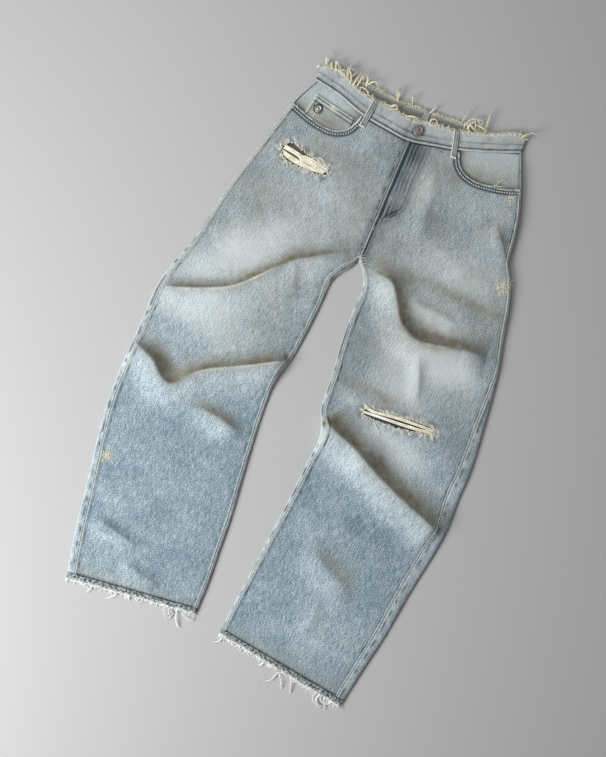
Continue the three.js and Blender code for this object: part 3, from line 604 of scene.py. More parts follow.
# %% Cotton and metal
def simple_finish(name, dark, light, grain, roughness, metallic=0.0, relief=0.2):
    """A plain finish between two close colours, uneven at the size of its grain, in metres."""
    material = bpy.data.materials.new(name)
    material.use_nodes = True
    tree = material.node_tree
    tree.nodes.clear()
    place = add_node(tree, "ShaderNodeTexCoord").outputs["Object"]
    noise = add_node(tree, "ShaderNodeTexNoise", {
        "Vector": place, "Scale": 1 / grain, "Detail": 3}).outputs[0]
    spread = add_node(tree, "ShaderNodeMapRange", {"Value": noise, "From Min": 0.3, "From Max": 0.7})
    colour = add_node(tree, "ShaderNodeMix", {0: spread.outputs[0], 6: srgb(dark), 7: srgb(light)},
                      data_type="RGBA")
    bump = add_node(tree, "ShaderNodeBump", {"Strength": relief, "Distance": 0.0003, "Height": noise})
    shader = add_node(tree, "ShaderNodeBsdfPrincipled", {
        "Base Color": colour.outputs[2], "Roughness": roughness, "Metallic": metallic,
        "Normal": bump.outputs[0]})
    add_node(tree, "ShaderNodeOutputMaterial", {"Surface": shader.outputs[0]})
    return material


# spun cotton yarn, undyed and yellowed, for the loose threads of the waist
cotton_thread = simple_finish("undyed_cotton_thread", "#cfc8a4", "#f3efdc", 0.006, 0.9)
# polyester core wrapped in cotton, which has faded with the wash
seam_thread = simple_finish("polycotton_seam_thread", "#9fabae", "#dde2df", 0.005, 0.8)
# the undyed weft that a rip lays bare, and the same weft at the hems, washed whiter
rip_cotton = simple_finish("bare_white_weft", "#e2dcc2", "#fffbee", 0.009, 0.9)
hem_cotton = simple_finish("washed_white_weft", "#d3d6d4", "#f6f7f4", 0.005, 0.9)
# thin cotton lining gone grey-brown and darkened further as painted shade for the gaps of the hip rip, and
# the woven tape of the zip
pocketing = simple_finish("stained_pocketing_twill", "#6b6455", "#857d6b", 0.0009, 0.9)
zip_tape_finish = simple_finish("woven_zip_tape", "#39485a", "#52637a", 0.0008, 0.9)
# pressed brass with a grey plating rubbed dull, and copper washed with silver
grey_brass = simple_finish("rubbed_grey_brass", "#8c857c", "#b3a9a0", 0.0012, 0.45, 1.0, relief=0.1)
silver_rivet = simple_finish("copper_washed_rivet", "#a59a94", "#cfc3bd", 0.001, 0.4, 1.0, relief=0.1)

# %% [markdown]
# ## Floor, light and camera
# The garment lies on a plain pale floor, seen from straight above with the camera turned a little.
# One large soft light stands low past the hems, so that each fold has a bright side down the leg
# and a soft shade up the leg; a wide dim one and the world fill the shade.

# %% Stage
CAMERA_TURN = math.radians(22.7)
CAMERA_HEIGHT = 1.85
VIEW_LENGTH = 1.4285       # metres of floor along the long side of the view
LOOKS_AT = to_frame((-14.4, -244.3, 0))
FLOOR_HALF, FLOOR_TOP = 6, -0.0006

floor_mesh = bpy.data.meshes.new("floor")
corners = np.array([(-1, -1), (1, -1), (1, 1), (-1, 1)]) * FLOOR_HALF
floor_mesh.from_pydata([(x, y, FLOOR_TOP) for x, y in corners.tolist()], [], [(0, 1, 2, 3)])
floor = bpy.data.objects.new("floor", floor_mesh)
bpy.context.scene.collection.objects.link(floor)
floor_paint = bpy.data.materials.new("pale_grey_floor")
floor_paint.use_nodes = True
floor_shader = floor_paint.node_tree.nodes["Principled BSDF"]
floor_shader.inputs["Base Color"].default_value = srgb("#b2b2b2")
floor_shader.inputs["Roughness"].default_value = 0.9
floor_mesh.materials.append(floor_paint)

camera = bpy.data.objects.new("camera", bpy.data.cameras.new("camera"))
bpy.context.scene.collection.objects.link(camera)
camera.data.lens = camera.data.sensor_width * CAMERA_HEIGHT / VIEW_LENGTH
camera.location = (LOOKS_AT[0], LOOKS_AT[1], CAMERA_HEIGHT)
camera.rotation_euler = (0, 0, CAMERA_TURN)
camera.data.clip_start, camera.data.clip_end = 0.01, 50
bpy.context.scene.camera = camera


def soft_light(name, azimuth, elevation, distance, size, power):
    """A square area light aimed at the garment; azimuth 0 is past the hems, 90 on the wearer's left."""
    light = bpy.data.objects.new(name, bpy.data.lights.new(name, "AREA"))
    bpy.context.scene.collection.objects.link(light)
    a, e = math.radians(azimuth), math.radians(elevation)
    away = np.array([math.sin(a) * math.cos(e), -math.cos(a) * math.cos(e), math.sin(e)]) * distance
    light.location = LOOKS_AT + away
    light.rotation_euler = (math.pi / 2 - e, 0, a)
    light.data.size = size
    light.data.energy = power


soft_light("window", -46, 33, 2.3, 1.0, 60)
soft_light("fill", -112, 55, 1.9, 1.2, 14)
world = bpy.data.worlds.new("studio")
world.use_nodes = True
world.node_tree.nodes["Background"].inputs["Color"].default_value = srgb("#eef1f4")
world.node_tree.nodes["Background"].inputs["Strength"].default_value = 0.25
bpy.context.scene.world = world
bpy.context.scene.view_settings.view_transform = "Standard"
print("camera over", LOOKS_AT.round(4))

# %% [markdown]
# ## Where the cloth is faded and dirty, and where light and shade are painted
# Wear follows the body: thighs and knees are palest, the insides of the folds hold dirt and
# painted shade, their lit sides carry a painted highlight, and the hips are greyer than the shins.
# Each patch is a soft oval, so the cloth changes without an edge.

# %% Wear map
# centre x, y, half width, half height, turn in degrees, amount
FADES = [
    (-228, -88, 125, 50, 40, .78), (-205, -212, 85, 46, 20, .52), (-100, 60, 100, 80, 0, .24),
    (-150, 180, 90, 60, 0, .10), (140, 30, 95, 70, 0, .14), (200, 32, 62, 42, 0, .20),
    (205, -312, 88, 48, -22, .66), (120, 190, 100, 50, 0, .16), (-120, 262, 110, 30, 0, .24),
    (240, -128, 70, 34, -6, .80), (70, 160, 18, 90, 0, .22), (168, -182, 66, 66, 0, .76),
    (130, 290, 100, 30, 0, .42), (110, -300, 60, 60, 0, .16), (225, 100, 50, 80, 0, .20),
    (160, -50, 84, 28, -8, .68), (185, -655, 90, 80, 0, .16), (185, 48, 84, 26, -12, .30),
    (140, 276, 66, 24, 10, .12), (210, -296, 60, 24, -15, .16), (-150, 75, 110, 26, 10, .14),
    (120, 120, 60, 26, -20, -.12), (-180, 40, 60, 26, 30, -.12), (200, 0, 60, 20, -12, -.10),
]
# dirt, and painted shade: the first patch darkens the hollow of the fold across the right knee, the fourth
# the soft valley above the knee rip
DIRT_AND_SHADE_PATCHES = [
    (-270, -312, 44, 15, -32, .40), (170, -60, 95, 40, -8, .12), (190, -170, 90, 80, 0, .12),
    (122, -222, 85, 19, -8, .44), (190, -345, 95, 40, -20, .14), (-235, -310, 60, 30, 15, .10),
    (185, 8, 100, 13, -3, .40), (-160, -215, 90, 50, 0, .10),
]
# dark patches; the seventh is painted shade in the soft valley above the knee rip
DARKS = [
    (16, 226, 18, 18, 0, .50), (12, 170, 20, 60, 0, .26), (24, 104, 16, 16, 0, .46),
    (4, 60, 18, 34, 0, .30), (0, 14, 14, 18, 0, .40), (60, -300, 26, 90, 0, .08),
    (118, -222, 80, 14, -8, .12), (-262, 190, 12, 60, 12, .20), (240, 150, 14, 60, -10, .16),
]


def soft_patches(patches, x, y):
    """The sum of soft ovals at each place."""
    total = np.zeros(np.shape(x))
    for cx, cy, half_wide, half_high, turn, amount in patches:
        c, s = math.cos(math.radians(turn)), math.sin(math.radians(turn))
        u = ((x - cx) * c + (y - cy) * s) / half_wide
        v = ((y - cy) * c - (x - cx) * s) / half_high
        total = total + amount * np.exp(-(u * u + v * v))
    return total


def wear_and_painted_light_at(x, y):
    """The looks of the plain cloth at each place, with the painted shade and highlights of its folds."""
    dirt, wear, rubbed = fold_field(x, y)[3:]
    cloud = 0.7 * waver(x, y, 62, 11) + 0.5 * waver(x, y, 27, 12)
    # the folds' wear adds real fade at the crests and a painted highlight on their lit slopes
    fade = 0.22 + soft_patches(FADES, x, y) + 0.30 * wear + 0.10 * smooth(y, -120, 0)
    fade = fade + (0.05 + 0.11 * smooth(y, -430, -200)) * cloud
    greyed = 0.04 + (0.28 + 0.14 * waver(x, y, 52, 13)) * smooth(y, -420, 20)
    dirt = dirt + soft_patches(DIRT_AND_SHADE_PATCHES, x, y) * (1 + 0.4 * cloud) + greyed
    return {"fade": fade, "dirt": np.clip(dirt, 0, 0.85), "dark": soft_patches(DARKS, x, y),
            "rope": np.zeros(np.shape(x)), "fuzz": 0.85 * rubbed}


def draw_lines(looks, distance, *lines):
    """Adds soft lines beside an edge. Each is a look, its strength, its distance out and its width."""
    for look, strength, middle, width in lines:
        looks[look] += strength * stripe(distance, middle, width)


thigh_looks = wear_and_painted_light_at(np.array([-190.0]), np.array([-70.0]))
print("the right thigh:", {look: round(float(values[0]), 2) for look, values in thigh_looks.items()})

# %% [markdown]
# ## Front panels
# Each leg front is one panel of denim from the waistband seam to the hem. It is a fine grid laid on
# the height rule, so folds, seam ridges and puckers are real geometry. Cells are left out for the
# pocket mouth and the rip, and the points beside them are drawn onto the cut line, a little ragged.

# %% Front panels
RIGHT_MOUTH = [
    (-229, 226), (-200, 216), (-173, 209), (-148, 207), (-130, 212), (-117, 222), (-108, 239),
    (-104, 252),
]
LEFT_MOUTH = [
    (93, 259), (105, 237), (122, 226), (144, 222), (170, 225), (196, 230), (225, 240),
]
ABOVE_RIGHT_MOUTH = [(-98, 266), (-150, 300), (-240, 300), (-240, 227)]
ABOVE_LEFT_MOUTH = [(245, 246), (230, 330), (120, 310), (88, 272)]
HIP_RIP = [(-221, 141), (-205, 156), (-179, 150), (-152, 144), (-128, 138), (-120, 130),
           (-129, 121), (-149, 119), (-172, 120), (-196, 120), (-212, 126)]
KNEE_RIP = [(112, -255), (128, -247), (159, -243), (197, -238.5), (235, -236), (252, -238),
            (250, -249), (222, -255), (193, -261), (157, -264), (123, -264)]
RIGHT_MOUTH_LINE, LEFT_MOUTH_LINE = smooth_line(RIGHT_MOUTH, 60), smooth_line(LEFT_MOUTH, 60)
BARE_SPOTS = [(216, 217, 7), (266, 59, 12), (-298, -519, 10), (-157, 248, 6), (185, 236, 5)]
HEM_STATIONS = 11 / 48      # an 11 mm hem; the lines at the end of a leg are 48 mm apart
PANEL_ROWS = 330
FINE_COLUMN, COARSE_COLUMN, SEAM_STRIP = 1.7 / 300, 3.1 / 300, 12 / 300     # of a width of 300 mm
DRAWN_IN = 3.2      # points nearer to a cut than this move onto it


def ragged(outline, steps, amount, seed):
    """The outline with torn, uneven edges, as a closed line."""
    closed = np.vstack([outline, outline[:1]])
    line = smooth_line(closed, steps)
    middle = line.mean(0)
    out = (line - middle) / np.linalg.norm(line - middle, axis=1)[:, None]
    n = np.arange(len(line)) * 4.0
    bite = amount * (waver(n, 0 * n, 9, seed) + 0.6 * waver(n, 0 * n, 4, seed + 1))
    bite[-1] = bite[0]
    return line + out * bite[:, None]


HIP_HOLE = ragged(HIP_RIP, 120, 2.2, 21)
KNEE_HOLE = ragged(KNEE_RIP, 140, 1.8, 23)


def is_inside(outline, x, y):
    """True at places within a closed outline, by crossings."""
    inside = np.zeros(np.shape(x), bool)
    ax, ay = outline[:, 0], outline[:, 1]
    bx, by = np.roll(ax, -1), np.roll(ay, -1)
    for x0, y0, x1, y1 in zip(ax, ay, bx, by):
        if y0 == y1:
            continue
        crosses = (y0 > y) != (y1 > y)
        inside ^= crosses & (x < (x1 - x0) * (y - y0) / (y1 - y0) + x0)
    return inside


def draw_onto(line, x, y, cut_cells):
    """Moves grid points that border cut cells onto the cut line."""
    padded = np.pad(cut_cells, 1)
    around = padded[:-1, :-1].astype(int) + padded[1:, :-1] + padded[:-1, 1:] + padded[1:, 1:]
    distance, _, _, nx, ny = nearest_on(line, x, y)
    border = (around > 0) & (distance < DRAWN_IN)
    return np.where(border, nx, x), np.where(border, ny, y)


def column_shares():
    """Columns across a panel: fine near both seams, coarse between."""
    edge = np.arange(0, SEAM_STRIP, FINE_COLUMN)
    count = round((1 - 2 * SEAM_STRIP) / COARSE_COLUMN)
    return np.r_[edge, np.linspace(SEAM_STRIP, 1 - SEAM_STRIP, count + 1), (1 - edge)[::-1]]


def cell_middles(values):
    return (values[:-1, :-1] + values[1:, 1:] + values[:-1, 1:] + values[1:, :-1]) / 4


# %% What shows on a front panel
def side_seams(leg, y, along, from_west, from_east, raised, looks):
    """The seams to the back panels: a rubbed white ridge, a groove with dark dashes, and puckers."""
    pucker = ripple(along, 7.5, 2 * waver(along, 0 * along, 30, 31))
    dash = smooth(waver(along, 0 * along, 9, 37), 0.05, 0.5)
    rubbed = 0.32 + 0.28 * smooth(y, -120, 60)
    on_centre = smooth(y, 0, 20)
    west_strength = 1.0 if leg is LEFT_LEG else 0.8
    for side, inset, strength in (("west", from_west, west_strength), ("east", from_east, 0.9)):
        ridge, groove = stripe(inset, 1.6, 1.9), stripe(inset, 6.5, 3.2)
        raised += strength * (0.8 * ridge - 0.35 * groove + 0.35 * pucker * stripe(inset, 4, 4))
        looks["fuzz"] += rubbed * ridge * (1 - 0.75 * on_centre * (leg["centre"] == side))
        looks["dark"] += strength * (0.16 * groove + (0.18 + 0.62 * dash) * stripe(inset, 4.8, 1.7))
        looks["rope"] += 0.25 * stripe(inset, 0, 2.2)


def mouth_and_rip(x, y, from_mouth, from_hole, raised, looks):
    """A white mouth edge and a dark band for its thick stitches; a lifted, fluffy edge round the rip."""
    raised += 0.9 * smooth(9.5 - from_mouth, 0, 3) * smooth(from_mouth, -1, 1.5)
    draw_lines(looks, from_mouth, ("fuzz", 1.3, 1, 1.5), ("dark", 0.95, 4.6, 1.7), ("dark", 0.95, 11, 1.9),
               ("dark", 0.55, 7.5, 2.5))
    raised += 1.2 * stripe(from_hole, 0, 4.5) * waver(x, y, 7, 41)
    looks["fuzz"] += 0.8 * stripe(from_hole, 0, 9) * smooth(waver(x, y, 4, 42), -0.1, 0.5)
    looks["dark"] += 0.6 * stripe(from_hole, 6, 6) * (0.6 + 0.4 * waver(x, y, 9, 43))


def waist_and_hem(x, from_waist, from_hem, raised, looks):
    """Both ends of the panel are gathered a little, and dark beside their seams."""
    raised += 0.35 * ripple(x, 7) * stripe(from_waist, 4, 4) + 0.4 * ripple(x, 8) * stripe(from_hem, 3, 5)
    draw_lines(looks, from_waist, ("dark", 1.1, 1.0, 2), ("dark", 0.2, 6, 4))
    draw_lines(looks, from_hem, ("dark", 0.9, 0, 2.5), ("dirt", 0.24, 0, 20))


def fly(leg, x, y, raised, looks):
    """The fly is a facing stitched down on the left front, ridged and dark where it was never worn."""
    below = smooth(y, 0, 24)
    if leg is RIGHT_LEG:
        looks["dark"] += 0.5 * stripe(x, -6.5, 2.0) * below
        raised -= 0.5 * stripe(x, -6, 2.5) * below
        return
    on_fly = smooth(y, 70, 96) * smooth(-y, -246, -238)
    edge = np.where(y > 132, 36.0, 36 - 26 * smooth(-y, -132, -86)**1.4)
    within = on_fly * smooth(edge - x, 0, 4)
    pleat = 0.5 + 0.5 * np.cos((x + 1) / 7.2 * 2 * math.pi + 0.8 * waver(y, x, 70, 51))
    fading = 0.55 + 0.45 * waver(x, y, 34, 53)
    raised += 0.9 * (on_fly * smooth(edge + 1 - x, 0, 3) + within * pleat * fading)
    looks["dark"] += within * (0.12 + (1 - pleat)**3 * fading)
    border = on_fly * (0.3 + 0.5 * smooth(-y, -150, -100))
    looks["dark"] += border * (stripe(x - edge, -2.5, 1.5) + stripe(x - edge, 4.5, 1.5))
    looks["fuzz"] += 0.16 * below * stripe(x, -3.4, 1.3) * (0.6 + 0.4 * waver(y, x, 16, 55))
    looks["dark"] += below * (0.8 * stripe(x, 0.4, 1.7) + 0.3 * smooth(70 - y, 0, 20) * stripe(x, 6, 3))


def crotch_knot(x, y, raised, looks):
    """Four seams meet at the crotch in a thick, twisted knot."""
    knot = stripe(np.hypot(x - 1, y - 1), 0, 13)
    twist = ripple(0.8 * x - y, 6.5)
    raised += knot * (2.0 + 1.2 * twist)
    looks["dark"] += 0.75 * knot * (twist < -0.1)
    looks["fuzz"] += 0.7 * knot * (twist > 0.3)


def bare_spots(x, y, raised, looks):
    """Small places where the blue is worn off and the weft stands up."""
    for spot_x, spot_y, size in BARE_SPOTS:
        spot = stripe(np.hypot(x - spot_x, y - spot_y), 0, size)
        looks["fuzz"] += 0.8 * spot * (0.6 + 0.4 * waver(x, y, 4, 47))
        raised += 0.5 * spot * waver(x, y, 3.5, 49)


def front_panel(leg, name, mouth, above_mouth, hole):
    stations = np.linspace(0.003, leg["last"] - HEM_STATIONS - 0.002, PANEL_ROWS)
    width = width_across(leg, stations)[:, None]
    low = seam_inset(leg, "west", stations, GAP / 2)[:, None] / width
    high = 1 - seam_inset(leg, "east", stations, GAP / 2)[:, None] / width
    share = low + column_shares() * (high - low)
    place = place_on(leg, stations[:, None], share)
    x, y = place[..., 0], place[..., 1]
    middle_x, middle_y = cell_middles(x), cell_middles(y)
    in_mouth = is_inside(np.vstack([mouth, above_mouth]), middle_x, middle_y)
    in_hole = is_inside(hole, middle_x, middle_y)
    x, y = draw_onto(mouth, x, y, in_mouth)
    x, y = draw_onto(hole, x, y, in_hole)
    along = run_along(np.column_stack([x[:, 50], y[:, 50]]))[:, None]

    raised, looks = np.zeros(x.shape), wear_and_painted_light_at(x, y)
    side_seams(leg, y, along, (share - low) * width, (high - share) * width, raised, looks)
    mouth_and_rip(x, y, nearest_on(mouth, x, y)[0], nearest_on(hole, x, y)[0], raised, looks)
    waist_and_hem(x, front_seam(x) - y, along[-1] - along, raised, looks)
    fly(leg, x, y, raised, looks)
    crotch_knot(x, y, raised, looks)
    bare_spots(x, y, raised, looks)
    uv = np.stack([place[..., 0], -np.broadcast_to(along, x.shape)], -1) / 1000
    return grid_piece(name, on_top(x, y, raised), looks, uv, keep=~(in_mouth | in_hole))


def lay(piece, node, slot, *finishes):
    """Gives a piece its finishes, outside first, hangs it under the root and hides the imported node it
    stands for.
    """
    for finish in finishes:
        piece.data.materials.append(finish)
    if len(finishes) > 1:
        piece.modifiers["cloth wall"].material_offset = 1
    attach(piece, "root")
    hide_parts(node)
    return piece


front_right = front_panel(RIGHT_LEG, "leg_front_right", RIGHT_MOUTH_LINE, ABOVE_RIGHT_MOUTH, HIP_HOLE)
front_left = front_panel(LEFT_LEG, "leg_front_left", LEFT_MOUTH_LINE, ABOVE_LEFT_MOUTH, KNEE_HOLE)
lay(front_right, "front_right", "light_denim", light_denim)
lay(front_left, "front_left", "light_denim", light_denim)
print("front panels:", len(front_right.data.polygons), "and", len(front_left.data.polygons), "cells")

# %% [markdown]
# ## Back panels and yokes
# The back of each leg is wider than the front: it wraps round both side folds, and its edge shows
# on top as a strip along the seam. The same grid goes from the seam over the fold, under the leg and
# up the other side. It is fine where it shows on top and sparse underneath, where it lies flat.

# %% Back panels and yokes
STRIP = np.array([1, .86, .72, .58, .44, .32, .2, .1, .03])      # columns on top, from seam to fold
UNDER = np.array([.12, .4, .75, 1.0])                            # columns where it rolls under
# painted shade on the inside of the back panel, seen through the knee rip
KNEE_RIP_PAINTED_SHADE = (182, -248, 70, 14, -5, 0.9)


def back_panel(leg, name, first, last, rows):
    column = np.linspace(first, last, rows)[:, None]
    above = column < leg["crotch"]
    width = width_across(leg, column[:, 0])[:, None]
    seat_width = width_across(leg, column[:, 0], seat=True)[:, None]
    inset = {side: seam_inset(leg, side, column, -GAP / 2) / width for side in ("west", "east")}
    roll_in = {side: np.where(above & (leg["centre"] == side), 0.02, 4.0) / seat_width for side in inset}

    between = mix(1 - roll_in["east"], roll_in["west"], np.linspace(0, 1, 12)[1:-1])
    shares = np.hstack([1 - roll_in["east"] * UNDER, between, roll_in["west"] * UNDER[::-1]])
    under_place = place_on(leg, column, shares, seat=True)
    along = run_along(under_place[:, 9])[:, None]

    def tip(share):
        return on_tip(*np.moveaxis(place_on(leg, column, share + 0 * column), -1, 0))

    def strip(side):
        """The part that shows on top beside one seam, with its marks: how far in, ridge and groove."""
        into = inset[side] * (STRIP if side == "east" else STRIP[::-1])
        place = place_on(leg, column, 1 - into if side == "east" else into)
        from_fold = into * width
        from_seam = inset[side] * width - from_fold
        ridge, groove = stripe(from_seam, 1.5, 1.6), stripe(from_seam, 5, 1.9)
        pucker = 0.45 * ripple(along, 6.5, 2 * waver(along, 0 * along, 24, 61)) * smooth(from_fold, 0, 6)
        return on_top(place[..., 0], place[..., 1], 0.5 * ridge + pucker), from_fold, ridge, groove

    east, *east_marks = strip("east")
    west, *west_marks = strip("west")
    under = on_under(under_place[..., 0], under_place[..., 1])
    grid = np.concatenate([east, tip(1), under, tip(0), west], axis=1)
    x, y = grid[..., 0], grid[..., 1]
    side_columns = len(STRIP) + 1
    keep = np.ones((rows - 1, grid.shape[1] - 1), bool)
    centre_columns = slice(0, side_columns) if leg["centre"] == "east" else slice(-side_columns, None)
    keep[above[:-1, 0], centre_columns] = False      # the centre seam is no fold, so no strip shows there

    unseen = np.zeros((rows, shares.shape[1] + 2))
    marks = (np.concatenate([e, unseen, w], axis=1) for e, w in zip(east_marks, west_marks))
    from_fold, ridge, groove = marks
    is_strip = np.zeros(grid.shape[1], bool)
    is_strip[:side_columns] = is_strip[-side_columns:] = True
    mottle = waver(x, y, 7, 63)
    dash = smooth(waver(along, 0 * along, 10, 67), 0.0, 0.45)
    looks = wear_and_painted_light_at(x, y)
    looks["dirt"] += is_strip * 0.06 * (1 + mottle)
    looks["dark"] += is_strip * (0.04 + 0.08 * mottle + 0.8 * dash * groove)
    looks["fuzz"] += 0.2 * ridge + is_strip * 0.5 * stripe(from_fold, 0, 1.4)
    looks["fade"] += is_strip * 0.2
    # the underside was never rubbed; its inside under the knee rip is darkened with painted shade, as little
    # light reaches it
    looks["dirt"][:, ~is_strip] *= 0.4
    looks["fade"][:, ~is_strip] -= 0.06
    looks["dark"] += ~is_strip * soft_patches([KNEE_RIP_PAINTED_SHADE], x, y)
    run = np.linalg.norm(np.diff(grid, axis=1), axis=2)
    across = np.cumsum(np.hstack([np.zeros((rows, 1)), run]), axis=1)
    uv = np.stack([across, -np.broadcast_to(along, x.shape)], -1) / 1000
    return grid_piece(name, grid, looks, uv, keep=keep)


for leg, side in ((RIGHT_LEG, "right"), (LEFT_LEG, "left")):
    yoke = back_panel(leg, f"back_yoke_{side}", 0.003, 0.997, 30)
    back = back_panel(leg, f"leg_back_{side}", 1.003, leg["last"] - HEM_STATIONS - 0.002, PANEL_ROWS)
    lay(yoke, f"yoke_{side}", "light_denim", light_denim, inside_denim)
    lay(back, f"back_{side}", "light_denim", light_denim, inside_denim)
    print(side, "back:", len(back.data.polygons), "cells")

# %% [markdown]
# ## Hems
# A hem is the leg end turned up twice and stitched. Washing shrinks the stitched fold more than the
# leg, so the hem ropes: it twists into slanting ridges, white on the ridge and dark between. It is a
# ring of doubled cloth with those ridges as geometry, and its lower edge is cut ragged.

# %% Hem rings
HEM_ROWS = 8
TOP_EDGE = np.array([.4, 1.2, 2.5, 4.5])      # columns near each side fold, in mm from it
UNDER_EDGE = np.array([.5, 1.6, 4.0])


def hem_ring(leg, name):
    column = np.linspace(leg["last"] - HEM_STATIONS + 0.002, leg["last"], HEM_ROWS)[:, None]
    width = width_across(leg, column[:, 0])[:, None]
    over = mix(6 / width, 1 - 6 / width, np.linspace(0, 1, 110))
    beneath = mix(1 - 5 / width, 5 / width, np.linspace(0, 1, 90))
    top_shares = np.hstack([TOP_EDGE / width, over, 1 - TOP_EDGE[::-1] / width])
    under_shares = np.hstack([1 - UNDER_EDGE / width, beneath, UNDER_EDGE[::-1] / width])
    parts = ((on_tip, 0 * column), (on_top, top_shares), (on_tip, 0 * column + 1), (on_under, under_shares))
    grid = np.concatenate([form(*np.moveaxis(place_on(leg, column, shares), -1, 0))
                           for form, shares in parts], axis=1)
    x, y = grid[..., 0].copy(), grid[..., 1]
    down = np.linspace(0, 1, HEM_ROWS)[:, None]
    is_top = np.zeros(grid.shape[1])
    is_top[1:1 + top_shares.shape[1]] = 1
    ropes = ripple(x + 9 * down + 3 * waver(x, 0 * x, 26, 71), 8.5)
    bulge = np.sqrt(np.clip(np.sin(math.pi * down), 0, 1))
    grid[..., 2] += is_top * (0.9 * bulge + 0.5 * ropes * bulge)
    grid[..., 1] += down**2 * (1.3 * waver(x, 0 * x, 9, 73) + 1.0 * waver(x, 0 * x, 31, 74))
    looks = wear_and_painted_light_at(x, y)
    looks["rope"] += 0.6 + 0.25 * ropes
    looks["dirt"] += 0.22 * is_top
    looks["dark"] += 0.75 * (ropes < -0.1) * bulge + 0.45 * smooth(0.72 - down, 0, 0.3) * is_top
    draw_lines(looks, down, ("dark", 0.8, 0.32, 0.12), ("dark", 1.3, 0, 0.15))
    looks["fuzz"] += 0.75 * smooth(down, 0.72, 1) * (0.6 + 0.4 * waver(x, y, 5, 75))
    looks["fade"] += 0.2 * ropes
    return grid_piece(name, grid, looks, ring=True, wall=HEM_WALL)


for leg, side in ((RIGHT_LEG, "right"), (LEFT_LEG, "left")):
    hem = lay(hem_ring(leg, f"roped_hem_{side}"), f"hem_{side}", "edge_denim", edge_denim)
    print(side, "hem:", len(hem.data.polygons), "cells")

# %% [markdown]
# ## Waistband
# The waistband is one strip round the body, its upper fold cut away, so its top is a raw edge and
# a ghost line of the old fold still shows. The left end lies over the right under the button. The
# inside of its back half shows above the front, so it is made as one ring with two faces.

# %% Waistband
BAND_END_LEFT, BAND_END_RIGHT = -10, 28
BAND_ROWS, BAND_COLUMNS = 16, 75


def waistband():
    down = np.linspace(0, 1, BAND_ROWS)[:, None]
    west = mix(WAIST_WEST[0], RIGHT_LEG["stations"][0][0], down)
    east = mix(WAIST_EAST[0], LEFT_LEG["stations"][0][2], down)

    def front_y(x):
        return mix(front_raw_edge(x), front_seam(x) + GAP, down)

    def over(x, drop=0.0):
        y = front_y(x)
        above_seam = y - front_seam(x)
        rib = 0.3 * ripple(x, 7.5, 2 * waver(x, y, 30, 81)) * stripe(above_seam, 3, 5)
        return on_top(x, y, 0.45 * stripe(above_seam, 17, 1.4) + rib + 0.5 * waver(x, y, 14, 82) - drop)

    shares = np.linspace(0, 1, BAND_COLUMNS + 1)
    left_x = mix(BAND_END_LEFT, east - 2.5, shares)
    right_x = mix(west + 2.5, BAND_END_RIGHT, shares)
    under_left = np.where(right_x > -16, LAYER * smooth(right_x, -16, -11), 0)
    turning = np.array([1.6, .6])
    back_x = mix(east - 4, west + 4, np.linspace(0, 1, 90))
    back = on_under(back_x, mix(back_raw_edge(back_x), back_seam(back_x) + GAP, down))
    parts = [over(left_x), over(east - turning), on_tip(east, front_y(east)), back,
             on_tip(west, front_y(west)), over(west + turning[::-1]), over(right_x, under_left)]
    grid = np.concatenate(parts, axis=1)
    is_back = np.concatenate([np.full(part.shape[1], part is back) for part in parts])

    x, y = grid[..., 0], grid[..., 1].copy()
    raw = np.exp(-down / 0.07)
    grid[..., 1] += raw * (1.4 * waver(x, 0 * x, 6, 84) + 1.2 * waver(x, 0 * x, 17, 85) - 0.6)
    grid[..., 2] += raw * ~is_back * 0.5 * waver(x, 0 * x, 7, 86)
    above_seam = y - np.where(is_back, back_seam(x), front_seam(x))
    looks = wear_and_painted_light_at(x, y)
    looks["fade"] += 0.22
    looks["dirt"] += 0.05
    looks["dark"] += 0.2 * smooth(waver(x, y, 9, 87), 0.1, 0.8)
    looks["fuzz"] += 0.95 * np.exp(-down / 0.09)
    # a pale ridge and a dark line over the seam, and the ghost of the fold that was cut away
    draw_lines(looks, above_seam, ("fade", 0.3, 2.6, 1.3), ("fuzz", 0.35, 2.6, 1.2), ("dark", 1.1, 5.8, 1.6),
               ("dark", 0.6, 17, 1.2), ("fade", 0.2, 26, 8))
    # painted shade: a dark ring on the band just outside the button's rim
    from_button = np.hypot(x - BUTTON_PLACE[0], y - BUTTON_PLACE[1])
    looks["dark"] += 0.55 * stripe(from_button, 11, 3) * ~is_back
    return grid_piece("cut_waistband", grid, looks)


band = lay(waistband(), "waistband", "light_denim", light_denim, inside_denim)
print("waistband cells:", len(band.data.polygons))

# %% [markdown]
# ## Belt loops
# A belt loop is a folded strip, stitched down each side and tacked at both ends. Its edges stand up
# and wear white. The front ones lie over the band; of the back ones only the centre one's end shows,
# turned in over the raw edge.

# %% Belt loops
LOOP_WALL, LOOP_WIDTH = 1.8, 11


def loop_looks(x, y, u, v, seed):
    """u runs from -1 to 1 across the loop, and v from 0 at its top to 1 at its foot."""
    looks = wear_and_painted_light_at(x, y)
    draw_lines(looks, np.abs(u), ("fuzz", 1.1, 0.86, 0.16), ("dark", 0.95, 0.52, 0.15))
    draw_lines(looks, v, ("fuzz", 1.2, 0.97, 0.025), ("dark", 0.6, 0.91, 0.03))
    looks["dirt"] += 0.1 + 0.1 * waver(x, y, 6, seed)
    return looks


def front_loop(name, top, bottom, seed):
    rows, columns = 46, 13
    v, u = np.linspace(0, 1, rows)[:, None], np.linspace(-1, 1, columns)[None, :]
    x = mix(top[0], bottom[0], v) + u * LOOP_WIDTH / 2
    y = mix(top[1], bottom[1], v) + 0 * u
    rounded = -0.9 * np.abs(u)**6 + 0.35 * stripe(np.abs(u), 0.8, 0.2)
    slack = np.sin(math.pi * v) - 0.5 * stripe(v, 0.93, 0.03)
    grid = on_top(x, y, GAP + LOOP_WALL + rounded + slack)
    return grid_piece(name, grid, loop_looks(x, y, u, v, seed), wall=LOOP_WALL)


